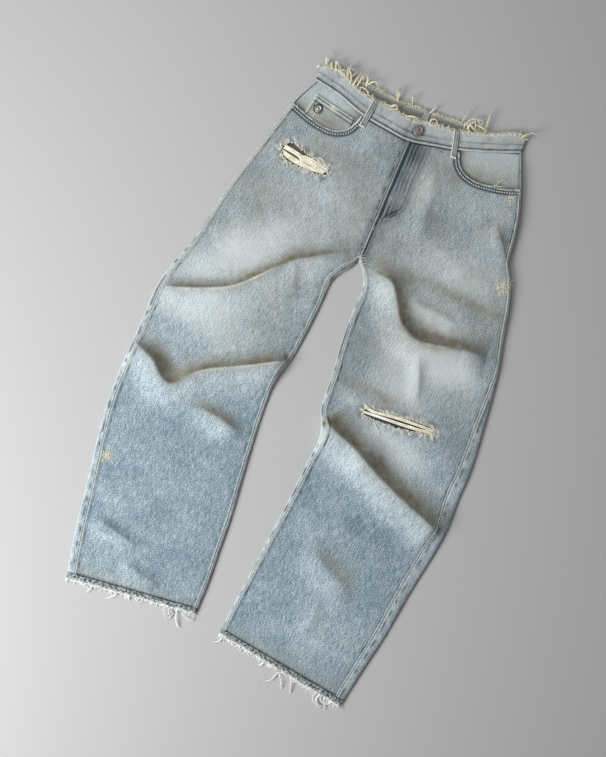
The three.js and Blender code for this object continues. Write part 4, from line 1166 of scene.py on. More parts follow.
def back_loop(name, x_middle, section, seed):
    """A loop on the back, which follows a section of Y and height."""
    u, v = np.linspace(1, -1, 7)[None, :], np.linspace(0, 1, len(section))[:, None]
    x = x_middle + u * LOOP_WIDTH / 2 + 0 * v
    grid = np.stack([x, section[:, :1] + 0 * u, section[:, 1:] + 0 * u], -1)
    return grid_piece(name, grid, loop_looks(x, grid[..., 1], u, v, seed))


for side, top, foot, seed in (("right", (-89, 292), (-95, 233), 91), ("left", (72.5, 297), (86, 245), 92)):
    loop = front_loop(f"belt_loop_front_{side}", top, foot, seed)
    lay(loop, f"loop_front_{side}", "edge_denim", edge_denim)

CENTRE_LOOP_X = 9
edge = float(back_raw_edge(CENTRE_LOOP_X))
inside = LAYER + CLOTH + GAP + CLOTH      # up through the loop and the band
over_the_edge = smooth_line([(edge - 22, inside), (edge - 8, inside + .3), (edge + 1, inside),
                             (edge + 3, inside / 2), (edge + 1.2, 0.1), (edge - 20, 0), (edge - 60, 0)], 40)
lay(back_loop("belt_loop_back_centre", CENTRE_LOOP_X, over_the_edge, 93),
    "loop_back_centre", "edge_denim", edge_denim)

for side, x_middle in (("right", -125), ("left", 118)):
    edge = float(back_raw_edge(x_middle)) - 1
    u, v = np.linspace(-1, 1, 9)[None, :], np.linspace(0, 1, 40)[:, None]
    x, y = x_middle - u * LOOP_WIDTH / 2 + 0 * v, edge - 60 * v + 0 * u
    grid = np.stack([x, y, 0.25 * np.abs(u)**6 + 0 * v], -1)
    loop = grid_piece(f"belt_loop_back_{side}", grid, loop_looks(x, y, u, v, 94))
    lay(loop, f"loop_back_{side}", "edge_denim", edge_denim)
print("belt loops:", sum("belt_loop" in piece.name for piece in made))

# %% [markdown]
# ## Pockets
# Behind each pocket mouth lies a denim facing, and on the right one the coin pocket with its own
# double-stitched mouth. They are thin sheets under the front at fixed depths, and the bags hang
# below them inside. The back pockets are patches on the outside of the seat, on the floor side.

# %% Pocket pieces
def sheet_under(name, corners, depth, step, shape_looks=None):
    """A sheet at a depth under the front's top face, from its upper west corner clockwise."""
    nw, ne, se, sw = np.array(corners, float)
    rows = max(3, int(np.hypot(*(nw - sw)) / step))
    columns = max(3, int(np.hypot(*(ne - nw)) / step))
    v = np.linspace(0, 1, rows + 1)[:, None, None]
    place = mix(mix(nw, sw, v), mix(ne, se, v), np.linspace(0, 1, columns + 1)[None, :, None])
    x, y = place[..., 0], place[..., 1]
    looks = wear_and_painted_light_at(x, y)
    raised = np.full(x.shape, -float(depth))
    if shape_looks:
        shape_looks(x, y, raised, looks)
    return grid_piece(name, on_top(x, y, raised), looks)


RIVET_PLACE = (-183.5, 234.0)
COIN_TOP = np.array([(-196, 259), (-114, 243)], float)
COIN_SIDE = np.array([(-196, 259), (-208, 203)], float)


def coin_looks(x, y, raised, looks):
    """The coin pocket: two rows along its mouth, one down its side, an old stain with painted shade where
    the mouth's edge overhangs it, a worn spot, and a ring of painted shade round the rivet.
    """
    from_top = nearest_on(COIN_TOP, x, y)[0]
    raised += 0.5 * stripe(from_top, 1.5, 1.6) + 0.3 * ripple(x, 6) * stripe(from_top, 0, 8)
    draw_lines(looks, from_top, ("fade", 0.45, 0.8, 1.3), ("fade", 0.3, 9, 1.4), ("dark", 0.9, 4.5, 1.6),
               ("dark", 0.9, 12, 1.5), ("fuzz", 0.8, 1, 1.4), ("fuzz", 0.5, 8.5, 1.4))
    draw_lines(looks, nearest_on(COIN_SIDE, x, y)[0], ("dark", 0.8, 5, 1.6), ("fuzz", 0.7, 1, 1.5))
    looks["fade"] += 0.22
    # dirt and painted shade near the pocket's foot, just above the overhanging edge of the pocket mouth
    looks["dirt"] += 0.06 + 0.26 * stripe(np.hypot((x + 155) / 46, (y - 217) / 20), 0, 1)
    looks["fuzz"] += 0.9 * stripe(np.hypot(x + 157, y - 248), 0, 7.07)
    # painted shade: a dark ring on the cloth just outside the rivet's rim
    from_rivet = np.hypot(x - RIVET_PLACE[0], y - RIVET_PLACE[1])
    looks["dark"] += 1.1 * stripe(from_rivet, 8, 2)


def facing_looks(x, y, raised, looks):
    """A facing is clean and pale, but shaded and soiled towards the pocket's mouth."""
    looks["dirt"] += 0.06 * waver(x, y, 14, 95) - 0.06
    looks["fade"] += 0.34
    from_mouth = np.minimum(*(nearest_on(line, x, y)[0] for line in (RIGHT_MOUTH_LINE, LEFT_MOUTH_LINE)))
    draw_lines(looks, from_mouth, ("dark", 0.5, 0, 5), ("dirt", 0.42, 0, 22))


BAG_DEPTH = 6.1
for name, node, slot, finish, corners, depth, step, shape_looks in (
        ("pocket_facing_sheet_right", "pocket_facing_right", "light_denim", facing_denim,
         [(-206.5, 286), (-88, 257), (-84, 185), (-241, 196)], 2 * LAYER, 3, facing_looks),
        ("pocket_facing_sheet_left", "pocket_facing_left", "light_denim", facing_denim,
         [(84, 266), (200, 303), (239, 205), (92, 195)], LAYER + 0.5, 3, facing_looks),
        ("coin_pocket_sheet", "coin_pocket", "light_denim", facing_denim,
         [(-196, 259), (-114, 243), (-118, 190), (-208, 203)], LAYER, 2, coin_looks),
        ("pocket_bag_sheet_right", "pocket_bag_right", "pocketing", pocketing,
         [(-213, 222), (-100, 222), (-100, 95), (-235, 95)], BAG_DEPTH, 5, None),
        ("pocket_bag_sheet_left", "pocket_bag_left", "pocketing", pocketing,
         [(100, 222), (214, 222), (232, 95), (100, 95)], BAG_DEPTH, 5, None),
        ("zip_tape_sheet", "zip_tape", "zip_tape", zip_tape_finish,
         [(-20, 238), (22, 238), (14, 95), (-18, 95)], LAYER, 5, None)):
    sheet = lay(sheet_under(name, corners, depth, step, shape_looks), node, slot, finish)
    print(name, len(sheet.data.polygons), "cells")


POCKET_MIDDLE, POCKET_TOP = 98, 195
HALF_TOP, HALF_FOOT, SIDE_DROP, POINT_DROP = 73, 64, 128, 155


def back_pocket(name, sign):
    """A patch with a pointed foot, its hem and side seams raised a little, face down."""
    middle = sign * POCKET_MIDDLE
    outline = np.array([(-HALF_TOP, 0), (HALF_TOP, 0), (HALF_FOOT, -SIDE_DROP), (0, -POINT_DROP),
                        (-HALF_FOOT, -SIDE_DROP)], float) + (middle, POCKET_TOP)
    v, u = np.linspace(0, 1, 60)[:, None], np.linspace(1, -1, 56)[None, :]
    half = mix(HALF_TOP, HALF_FOOT, v)
    x = middle + u * half
    y = POCKET_TOP - v * mix(POINT_DROP, SIDE_DROP, np.abs(u))
    border = np.minimum((1 - np.abs(u)) * half, np.minimum(v, 1 - v) * 140)
    looks = wear_and_painted_light_at(x, y)
    draw_lines(looks, border, ("fade", 0.3, 0, 1.6), ("dark", 0.4, 9, 2))
    looks["dirt"] *= 0.4
    grid = np.stack([x, y, 0.35 * (1 - stripe(border, 3, 3))], -1)
    return grid_piece(name, grid, looks, wall=CLOTH - 0.4), outline


back_pocket_outlines = []
for side, sign in (("right", -1), ("left", 1)):
    patch, outline = back_pocket(f"back_pocket_patch_{side}", sign)
    lay(patch, f"back_pocket_{side}", "light_denim", light_denim)
    back_pocket_outlines.append(outline)
    print(side, "back pocket's corners:", outline.round().tolist())

# %% [markdown]
# ## Button, rivet and zip slider
# The button and the coin-pocket rivet are pressed metal, so they are turned profiles: a rim, a
# shallow dish and a dot in the middle. Both stay plain, with no lettering on them.

# %% Metal
def turned(name, profile, place, sides):
    """A closed solid of revolution from (radius, height) in millimetres, up the outside from the axis."""
    angles = np.linspace(0, 2 * math.pi, sides, endpoint=False)
    rings = [np.stack([r * np.cos(angles), r * np.sin(angles), np.full(sides, z)], -1)
             for r, z in profile[1:-1]]
    ends = [(0, 0, profile[0][1]), (0, 0, profile[-1][1])]
    top = (len(rings) - 1) * sides
    faces = []
    for j in range(sides):
        n = (j + 1) % sides
        faces += [(k + j, k + n, k + sides + n, k + sides + j) for k in range(0, top, sides)]
        faces += [(top + sides, n, j), (top + sides + 1, top + j, top + n)]
    return add_piece(name, np.vstack(rings + [ends]) + place, faces)


BUTTON_PROFILE = [
    (0, -3.9), (4.5, -3.9), (4.5, -2.9), (2.2, -2.9), (2.2, .8), (7.9, .8), (8.7, 1.1), (9.0, 1.7),
    (8.7, 2.4), (8.1, 2.8), (7.4, 2.75), (6.9, 2.4), (6.4, 2.35), (4.2, 2.6), (2.2, 2.72), (0, 2.75)]
RIVET_PROFILE = [
    (0, -5.8), (3.5, -5.8), (3.5, -4.8), (1.8, -4.8), (1.8, -1.3), (5.9, -1.3), (6.4, -1.0), (6.5, -.6),
    (6.0, -.1), (5.2, .05), (4.5, -.3), (4.1, -.65), (2.6, -.7), (2.3, -.3), (1.6, .0), (.8, .1), (0, .1)]
button = turned("waist_button_metal", BUTTON_PROFILE, spot_on_top(*BUTTON_PLACE), 56)
lay(button, "waist_button", "grey_brass", grey_brass)
rivet = turned("coin_pocket_rivet", RIVET_PROFILE, spot_on_top(*RIVET_PLACE), 48)
lay(rivet, "coin_rivet", "silver_rivet", silver_rivet)
print("button and rivet at", spot_on_top(*BUTTON_PLACE).round(1), spot_on_top(*RIVET_PLACE).round(1))

# %% [markdown]
# The slider hides under the fly, so it is only a small tapered block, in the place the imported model
# gives it. Its outline is drawn once, and four of them, a little smaller at both faces, are joined.

# %% Zip slider
slider_low, slider_high = (np.array(c) * 1000 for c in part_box("zip_slider"))
slider_middle = (slider_low + slider_high) / 2 - np.array([*(SHIFT[:2] * 1000), 0])


def slider_ring(half_x, half_y, z):
    east = [(1, -1), (1, -.55), (.7, .1), (.62, 1)]
    corner = np.array(east + [(-x, y) for x, y in east[::-1]])
    return np.column_stack([corner * (half_x, half_y), np.full(8, z)])


points = np.vstack([slider_ring(4.1, 6.5, -1.4), slider_ring(4.5, 7, -.8),
                    slider_ring(4.5, 7, .8), slider_ring(4.1, 6.5, 1.4)]) + slider_middle
faces = [tuple(range(7, -1, -1)), tuple(range(24, 32))]
for k in (0, 8, 16):
    faces += [(k + j, k + (j + 1) % 8, k + 8 + (j + 1) % 8, k + 8 + j) for j in range(8)]
slider = add_piece("zip_slider_body", points, faces, smooth_faces=False)
lay(slider, "zip_slider", "grey_brass", grey_brass)
print("zip slider at", slider_middle.round(1))

# %% [markdown]
# ## Two node trees: stitches and loose threads
# A seam line is one small stitch repeated at a steady pitch, and every loose thread is a path
# with a round section, so both are made with Geometry Nodes. The first tree walks a path and sets a
# rounded stitch along it at each step. The second turns paths into yarn that thins at its ends.

# %% Start and end of a node tree
def new_tree(name, inputs):
    """A Geometry Nodes tree with its named inputs, and the sockets that give them."""
    tree = bpy.data.node_groups.new(name, "GeometryNodeTree")
    tree.is_modifier = True
    tree.interface.new_socket("Geometry", in_out="INPUT", socket_type="NodeSocketGeometry")
    for label, kind in inputs:
        tree.interface.new_socket(label, in_out="INPUT", socket_type=kind)
    tree.interface.new_socket("Geometry", in_out="OUTPUT", socket_type="NodeSocketGeometry")
    return tree, add_node(tree, "NodeGroupInput").outputs


def finish_tree(tree, geometry, finish):
    """Makes instances real, gives them the finish and ends the tree."""
    whole = add_node(tree, "GeometryNodeRealizeInstances", {0: geometry}).outputs[0]
    painted = add_node(tree, "GeometryNodeSetMaterial", {"Geometry": whole, "Material": finish}).outputs[0]
    add_node(tree, "NodeGroupOutput", {0: painted})


# %% The tree that stitches
FLOAT = "NodeSocketFloat"
stitch_tree, given = new_tree("row of stitches", [
    ("Pitch", FLOAT), ("Stitch Length", FLOAT), ("Thread Radius", FLOAT), ("Finish", "NodeSocketMaterial")])
path = add_node(stitch_tree, "GeometryNodeMeshToCurve", {0: given["Geometry"]}).outputs[0]
steps = add_node(stitch_tree, "GeometryNodeResampleCurve", {"Curve": path, "Length": given["Pitch"]},
                 mode="LENGTH").outputs[0]
heading = add_node(stitch_tree, "GeometryNodeInputTangent").outputs[0]
turn = add_node(stitch_tree, "FunctionNodeAlignRotationToVector", {"Vector": heading}, axis="X").outputs[0]
bead = add_node(stitch_tree, "GeometryNodeMeshUVSphere", {
    "Segments": 6, "Rings": 5, "Radius": 0.5}).outputs[0]
rounded = add_node(stitch_tree, "GeometryNodeSetShadeSmooth", {"Geometry": bead}).outputs[0]
across = add_node(stitch_tree, "ShaderNodeMath", {0: given["Thread Radius"], 1: 2.0},
                  operation="MULTIPLY").outputs[0]
size = add_node(stitch_tree, "ShaderNodeCombineXYZ", {
    0: given["Stitch Length"], 1: across, 2: across}).outputs[0]
uneven = add_node(stitch_tree, "FunctionNodeRandomValue", {
    "Min": (0.88, 0.9, 0.85), "Max": (1.06, 1.12, 1.1), "Seed": 3}, data_type="FLOAT_VECTOR").outputs[0]
scaled = add_node(stitch_tree, "ShaderNodeVectorMath", {0: size, 1: uneven}, operation="MULTIPLY").outputs[0]
stitches = add_node(stitch_tree, "GeometryNodeInstanceOnPoints", {
    "Points": steps, "Instance": rounded, "Rotation": turn, "Scale": scaled}).outputs[0]
finish_tree(stitch_tree, stitches, given["Finish"])

# %% The tree that makes yarn
thread_tree, given = new_tree("loose threads", [
    ("Thread Radius", FLOAT), ("Sides", "NodeSocketInt"), ("Finish", "NodeSocketMaterial")])
path = add_node(thread_tree, "GeometryNodeMeshToCurve", {0: given["Geometry"]}).outputs[0]
section = add_node(thread_tree, "GeometryNodeCurvePrimitiveCircle", {
    "Resolution": given["Sides"], "Radius": given["Thread Radius"]}).outputs[0]
thinning = add_node(thread_tree, "GeometryNodeInputNamedAttribute", {"Name": "girth"},
                    data_type="FLOAT").outputs[0]
yarn = add_node(thread_tree, "GeometryNodeCurveToMesh", {
    "Curve": path, "Profile Curve": section, "Scale": thinning, "Fill Caps": True}).outputs[0]
finish_tree(thread_tree, yarn, given["Finish"])


# %% Paths in, plain mesh out
def grown(name, lines, tree, values, girths=None):
    """A plain mesh that a node tree makes from lines of millimetre places."""
    points, edges, girth = [], [], []
    for k, line in enumerate(lines):
        start = len(points)
        points.extend(line)
        edges.extend((start + i, start + i + 1) for i in range(len(line) - 1))
        girth.extend(girths[k] if girths else np.ones(len(line)))
    mesh = bpy.data.meshes.new(name + "_paths")
    mesh.from_pydata(to_frame(points).tolist(), edges, [])
    mesh.attributes.new("girth", "FLOAT", "POINT").data.foreach_set("value", np.asarray(girth, np.float32))
    source = bpy.data.objects.new(name + "_paths", mesh)
    bpy.context.scene.collection.objects.link(source)
    modifier = source.modifiers.new("nodes", "NODES")
    modifier.node_group = tree
    for item in tree.interface.items_tree:
        if item.item_type == "SOCKET" and item.in_out == "INPUT" and item.name in values:
            modifier[item.identifier] = values[item.name]
    evaluated = source.evaluated_get(bpy.context.evaluated_depsgraph_get())
    result = bpy.data.meshes.new_from_object(evaluated)
    source.modifiers.clear()
    bpy.data.objects.remove(source)
    result.name = name
    result.shade_smooth()
    piece = bpy.data.objects.new(name, result)
    bpy.context.scene.collection.objects.link(piece)
    made.append(piece)
    return piece


print("trees:", [g.name for g in bpy.data.node_groups])

# %% [markdown]
# ## Topstitching
# Jeans are topstitched with thick thread at about eight stitches to the inch. Each row is drawn as
# a line on the garment, laid on the height rule, and walked by the stitch tree. Bar tacks, the
# dense bars where a seam takes strain, are the same stitch at a much shorter pitch.

# %% Stitch rows
STITCH_PITCH = 0.0032
STITCH_LENGTH = 0.0030
THREAD_RADIUS = 0.00042


def along_line(points, step=4.0):
    """A line resampled at a steady step."""
    points = np.asarray(points, float)
    run = run_along(points)
    places = np.linspace(0, run[-1], max(2, int(run[-1] / step) + 1))
    return np.column_stack([np.interp(places, run, points[:, k]) for k in (0, 1)])


def row_on_top(points, raised):
    return on_top(*along_line(points).T, raised)


def beside(points, distance):
    """The line moved sideways, to the left of its run."""
    points = np.asarray(points, float)
    run = np.gradient(points, axis=0)
    left = np.column_stack([-run[:, 1], run[:, 0]]) / np.maximum(np.hypot(*run.T), 1e-9)[:, None]
    return points + left * distance


def seam_line(leg, side, first, inset):
    stations = np.linspace(first, leg["last"] - HEM_STATIONS - 0.01, 150)
    into = (seam_inset(leg, side, stations, 0) + inset) / width_across(leg, stations)
    return place_on(leg, stations, into if side == "west" else 1 - into)


def across_leg(leg, station, first, last, seat=False):
    return place_on(leg, np.full(60, station), np.linspace(first, last, 60), seat=seat)


def hem_station(leg):
    """The station of the row that holds the turned-up hem."""
    return leg["last"] - HEM_STATIONS * 0.82


J_LINE = smooth_line([(36, 241), (36, 200), (36, 160), (36, 132), (33, 112), (24, 98), (10, 88)], 50)
xs_front = np.linspace(-205, 195, 120)
waist_line = np.column_stack([xs_front, front_seam(xs_front)])
front_lines = [       # each line, and how far it stands above the cloth
    (J_LINE, 1.1), ([(-3.0, 240), (-3.2, 150), (-3.2, 70)], 1.4),
    ([(3.4, 86), (3.4, 40), (3.4, 6)], 0.8), ([(-2.4, 68), (-2.4, 6)], 0.8),
    (beside(COIN_TOP, -1.8), 0.9 - LAYER), (beside(COIN_TOP, -8.5), 0.9 - LAYER),
    (beside(waist_line, 2.2), 0.75), (seam_line(LEFT_LEG, "east", 1.0, 2.0), 1.1),
    (seam_line(LEFT_LEG, "east", 1.0, 7.5), 0.9), (seam_line(RIGHT_LEG, "west", 1.5, 2.0), 0.9),
    (seam_line(RIGHT_LEG, "east", 6.2, 1.8), 0.9), (seam_line(LEFT_LEG, "west", 7.2, 1.8), 0.9)]
front_lines += [(across_leg(leg, hem_station(leg), 0.015, 0.985), 1.6) for leg in (RIGHT_LEG, LEFT_LEG)]
top_rows = grown("topstitching_front", [row_on_top(*row) for row in front_lines], stitch_tree, {
    "Pitch": STITCH_PITCH, "Stitch Length": STITCH_LENGTH, "Thread Radius": THREAD_RADIUS,
    "Finish": seam_thread})
mouth_lines = [row_on_top(beside(line, -7.6), 1.2) for line in (RIGHT_MOUTH_LINE, LEFT_MOUTH_LINE)]
mouth_rows = grown("topstitching_mouths", mouth_lines, stitch_tree, {
    "Pitch": 0.0049, "Stitch Length": 0.0037, "Thread Radius": 0.0015, "Finish": seam_thread})
print("front stitches:", len(top_rows.data.polygons), "faces")


# %% Bar tacks
def tack(middle, length, turn, raised):
    """A zigzag about a middle, turned by an angle in degrees."""
    along = np.linspace(-1, 1, int(length / 0.8)) * length / 2
    swing = np.where(np.arange(len(along)) % 2, 0.9, -0.9)
    c, s = math.cos(math.radians(turn)), math.sin(math.radians(turn))
    return on_top(middle[0] + along * c - swing * s, middle[1] + along * s + swing * c, raised)


LOOP_TOP = GAP + LOOP_WALL + 0.5
TACKS = [
    ((-89, 288), 9, 0, LOOP_TOP), ((-94.6, 236), 9, 0, LOOP_TOP), ((73.5, 293), 9, 0, LOOP_TOP),
    ((85.5, 248.5), 9, 0, LOOP_TOP), ((15, 92), 9, 40, 1.0), ((0, 66), 9, 85, 0.9), ((2, 8), 10, 0, 0.9),
    ((-103, 248), 7, 80, 1.1), ((95, 254), 7, 100, 1.1), ((-224, 223), 7, 15, 1.1),
    ((218, 237), 7, 20, 1.1), ((-192, 254), 5, 70, 1 - LAYER), ((-118, 240), 5, 80, 1 - LAYER)]
bars = grown("bar_tacks", [tack(*row) for row in TACKS], thread_tree, {
    "Thread Radius": 0.00045, "Sides": 5, "Finish": seam_thread})
print("bar tacks:", len(TACKS))


# %% Rows that face the floor
def row_on_floor(line):
    return np.column_stack([line, np.full(len(line), 0.1)])


floor_rows = []
for outline in back_pocket_outlines:
    for share in (0.965, 0.89):
        ring = mix(outline.mean(0), np.vstack([outline[1:], outline[:1]]), share)
        floor_rows.append(row_on_floor(along_line(ring)))
    floor_rows.append(row_on_floor(along_line([outline[0] + (5, -14), outline[1] + (-5, -14)])))
for leg, first, last in ((RIGHT_LEG, 0.05, 0.97), (LEFT_LEG, 0.95, 0.02)):
    for station in (0.95, 1.07):
        yoke_row = across_leg(leg, station, first, last, seat=True)
        floor_rows.append(on_under(*yoke_row.T) - (0, 0, 0.1))
    floor_rows.append(row_on_floor(across_leg(leg, hem_station(leg), 0.03, 0.97)))
for x_place in (-3.2, 3.2):
    seat_seam = along_line([(x_place, 262), (x_place, 30)])
    floor_rows.append(on_under(*seat_seam.T) - (0, 0, 0.1))
under_rows = grown("topstitching_back", floor_rows, stitch_tree, {
    "Pitch": STITCH_PITCH, "Stitch Length": STITCH_LENGTH, "Thread Radius": 0.0004, "Finish": seam_thread})
for piece in (top_rows, mouth_rows, bars, under_rows):
    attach(piece, "root")
print("stitches under:", len(under_rows.data.polygons), "faces")

# %% [markdown]
# ## Frayed edges
# Cut denim unravels: the white weft comes away along the cut as short fuzz, and here and there a
# whole yarn pulls out into a long curl or a tuft. The fuzz is drawn at random with a fixed seed,
# and the long ends, which catch the eye, are each listed one by one.

# %% Loose ends
def strand(rng, root, angle, length, curl, end_z, rise, steps=6):
    """One thread: it leaves at an angle, curls as it goes, and settles to a height."""
    step = length / steps
    x, y, z0 = root
    bend = rng.normal(0, curl)
    line = [(x, y, z0)]
    for k in range(1, steps + 1):
        bend = 0.7 * bend + rng.normal(0, curl) * 0.6
        angle += bend
        x, y = x + math.cos(angle) * step, y + math.sin(angle) * step
        share = k / steps
        line.append((x, y, mix(z0, end_z, share**1.3) + rise * math.sin(math.pi * share)))
    return np.array(line)


def thinning_girth(count):
    return 1 - 0.65 * np.linspace(0, 1, count)**2


def fuzz_along(rng, edge, outward, spacing, short, spread, curl, end_z, rise=0.8):
    """Short threads all along an edge of (x, y, z) places; outward is the angle they leave at."""
    run = run_along(edge)
    outward, end_z = np.broadcast_to(outward, len(edge)), np.broadcast_to(end_z, len(edge))
    lines = []
    for place in np.arange(0, run[-1], spacing):
        place = min(max(place + rng.uniform(-0.5, 0.5) * spacing, 0), run[-1])
        root = [np.interp(place, run, edge[:, k]) for k in range(3)]
        i = min(int(np.searchsorted(run, place)), len(edge) - 1)
        clump = 0.65 + 0.7 * abs(float(waver(place, 0.0, 13, 101)))
        length = rng.uniform(*short) * clump
        angle = outward[i] + rng.normal(0, spread)
        lines.append(strand(rng, root, angle, length, curl, end_z[i] + rng.uniform(-0.6, 0.9), rise, 4))
    return lines


def drawn_thread(rng, points, z_from, z_to, rise, count):
    """Several yarns that follow one drawn path, a little apart: a tuft."""
    line = smooth_line(points, 12 if len(points) > 2 else 6)
    share = np.linspace(0, 1, len(line))
    lines = []
    for _ in range(count):
        apart = rng.normal(0, 0.55, 2)
        fan = rng.normal(0, 1.3, 2)
        shaken = line + apart + np.outer(share**1.5, fan)
        z = mix(z_from, z_to, share) + rise * np.sin(math.pi * share) + rng.uniform(0, 0.8)
        lines.append(np.column_stack([shaken, np.maximum(z, 0.5)]))
    return lines


FRAY_RADIUS = 0.0005


def fray_piece(name, lines, finish, node, radius=FRAY_RADIUS):
    """A piece of loose threads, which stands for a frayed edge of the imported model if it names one."""
    sizes = {"Thread Radius": radius, "Sides": 4, "Finish": finish}
    piece = grown(name, lines, thread_tree, sizes, [thinning_girth(len(line)) for line in lines])
    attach(piece, "root")
    if node:
        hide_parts(node)
    print(name, len(lines), "threads,", len(piece.data.polygons), "faces")
    return piece


rng = np.random.default_rng(7)
north = math.pi / 2

xs = np.linspace(-210, 200, 160)
front_edge = on_top(xs, front_raw_edge(xs), -0.6)
front_fray = fuzz_along(rng, front_edge, north, 1.1, (2.5, 7.5), 0.75, 0.35, 7.5)
front_fray += fuzz_along(rng, front_edge, -north, 2.4, (2, 5), 0.7, 0.35, 10)
WAIST_TUFTS = [
    ([(-203, 318), (-205, 327), (-208, 334)], 4), ([(-200, 316), (-201, 327), (-201, 333)], 2),
    ([(-209, 310), (-216, 305)], 3), ([(-188, 313), (-193, 321), (-188, 325)], 5),
    ([(-180, 312), (-186, 327), (-180, 324), (-171, 318)], 5),
    ([(-184, 315), (-172, 316), (-165, 320), (-162, 317)], 3),
    ([(-146, 300), (-151, 315), (-162, 327)], 5), ([(-156, 312), (-156, 324), (-156, 338)], 3),
    ([(-151, 305), (-159, 316), (-159, 324), (-154, 326), (-146, 326)], 3),
    ([(-178, 316), (-166, 311), (-150, 305)], 4), ([(-140, 299), (-136, 318), (-131, 333)], 3),
    ([(-133, 300), (-130, 318), (-127, 323), (-126, 316)], 3),
    ([(-127, 302), (-118, 301), (-108, 297), (-105, 292)], 3),
    ([(-72, 290), (-59, 291), (-57, 293), (-50, 295), (-43, 286)], 3),
    ([(20, 288), (21, 297), (29, 299), (35, 292)], 3), ([(-24, 286), (-11, 288), (3, 288)], 3),
    ([(-58, 290), (-49, 294), (-42, 285)], 2), ([(191, 331), (202, 345), (211, 347), (220, 349)], 2),
    ([(190, 332), (197, 340), (203, 345)], 4),
]
for points, count in WAIST_TUFTS:
    front_fray += drawn_thread(rng, points, 8.5, 7.5, 5, count * 2)
fray_piece("fray_waist_front_threads", front_fray, cotton_thread, "fray_waist_front")

BACK_TUFTS = {
    "right": [
        ([(-118, 309), (-119, 322), (-126, 331)], 3),
        ([(-118, 309), (-107, 321), (-98, 319), (-92, 312)], 3),
        ([(-50, 307), (-57, 316), (-55, 331)], 6), ([(-52, 307), (-53, 318), (-56, 327)], 4),
        ([(-22, 309), (-27, 320), (-24, 329)], 5), ([(-150, 311), (-146, 320), (-140, 328)], 3)],
    "left": [
        ([(13, 308), (18, 319), (23, 327)], 3), ([(75, 313), (77, 328), (82, 345)], 4),
        ([(85, 303), (83, 314), (92, 327), (111, 330), (110, 315)], 3),
        ([(91, 325), (92, 316), (107, 310)], 3), ([(100, 322), (114, 319), (128, 316)], 3),
        ([(122, 316), (120, 338), (118, 356)], 4), ([(88, 306), (98, 326), (104, 312)], 3),
        ([(96, 305), (86, 320), (100, 330), (116, 318)], 2)],
}
for side, x_from, x_to in (("right", -205, 2), ("left", 16, 196)):
    xs = np.linspace(x_from, x_to, 90)
    edge = np.column_stack([xs, back_raw_edge(xs), lift_at(xs * 0 + 300) + 0.7])
    lines = fuzz_along(rng, edge, north, 0.9, (2.5, 7), 0.7, 0.35, 2.0)
    lines += fuzz_along(rng, edge + (0, 0, 0.9), -north, 2.2, (2, 5), 0.7, 0.35, 4.0)
    for points, count in BACK_TUFTS[side]:
        lines += drawn_thread(rng, points, 3.5, 5, 6, count * 2)
    fray_piece(f"fray_waist_back_{side}_threads", lines, cotton_thread, f"fray_waist_back_{side}")

HEM_TUFTS = {
    "right": [
        ([(-229, -756), (-231, -765), (-233, -775)], 4),
        ([(-192, -752), (-181, -754), (-187, -762), (-196, -770)], 4),
        ([(-256, -760), (-244, -762), (-230, -763)], 3), ([(-145, -748), (-136, -753), (-129, -746)], 3),
        ([(-90, -740), (-83, -754), (-74, -760), (-69, -744)], 4),
        ([(-66, -738), (-60, -756), (-50, -767)], 4), ([(-56, -740), (-36, -748), (-30, -740)], 3),
        ([(-82, -740), (-76, -751), (-72, -740)], 3), ([(-276, -758), (-281, -768)], 3),
        ([(-160, -748), (-155, -757)], 3)],
    "left": [
        ([(35, -751), (30, -762), (21, -769)], 4), ([(124, -766), (119, -775)], 3),
        ([(155, -772), (150, -789), (137, -799)], 3), ([(156, -772), (168, -787), (172, -799)], 3),
        ([(182, -770), (187, -787), (192, -801)], 4),
        ([(236, -779), (233, -789), (239, -799), (256, -802)], 4),
        ([(244, -780), (242, -793), (254, -806)], 3), ([(255, -780), (269, -786), (259, -796)], 4),
        ([(253, -784), (264, -804)], 2), ([(277, -785), (294, -791)], 3),
        ([(53, -755), (62, -759), (74, -756)], 3),
        ([(246, -783), (252, -792), (262, -790), (258, -783)], 4)],
}
for leg, side in ((RIGHT_LEG, "right"), (LEFT_LEG, "left")):
    line = across_leg(leg, leg["last"], 0.004, 0.996)
    top_edge = on_top(line[:, 0], line[:, 1], -0.8)
    low_edge = np.column_stack([line, np.full(len(line), 1.6)])
    lines = fuzz_along(rng, top_edge, -north - 0.1, 0.8, (3.5, 9.5), 0.6, 0.3, 1.8, 0.5)
    lines += fuzz_along(rng, low_edge, -north - 0.1, 0.8, (5, 11.5), 0.6, 0.3, 1.0, 0.6)
    for points, count in HEM_TUFTS[side]:
        lines += drawn_thread(rng, points, 4.5, 0.9, 1.2, count * 2)
    fray_piece(f"fray_hem_{side}_threads", lines, hem_cotton, f"fray_hem_{side}")

# %% [markdown]
# ## Rips
# In a rip the blue warp is worn through and the white weft still spans the hole from end to end, in
# loose bundles with dark gaps between them. The torn edge above and below is a fringe of short ends.

# %% Weft bundles and torn edges
def weft_bundle(rng, upper, lower, count, sag, raised):
    """Yarns that span a rip between an upper and a lower drawn line."""
    upper, lower = smooth_line(upper, 26), smooth_line(lower, 26)
    run = np.linspace(0, 1, 27)
    lines = []
    for k in range(count):
        share = np.clip((k + rng.uniform(-0.4, 0.4)) / max(1, count - 1), 0, 1)
        drift = 0.035 * np.sin(run * math.pi * rng.uniform(0.8, 2.2) + rng.uniform(0, 6))
        plan = mix(upper, lower, np.clip(share + drift, -0.04, 1.04)[:, None])
        slack = sag * np.sin(math.pi * run) * rng.uniform(0.5, 1.1)
        body = on_top(plan[:, 0], plan[:, 1], raised + rng.uniform(-0.2, 0.2))
        body[:, 2] -= slack
        lines.append(body)
    return lines


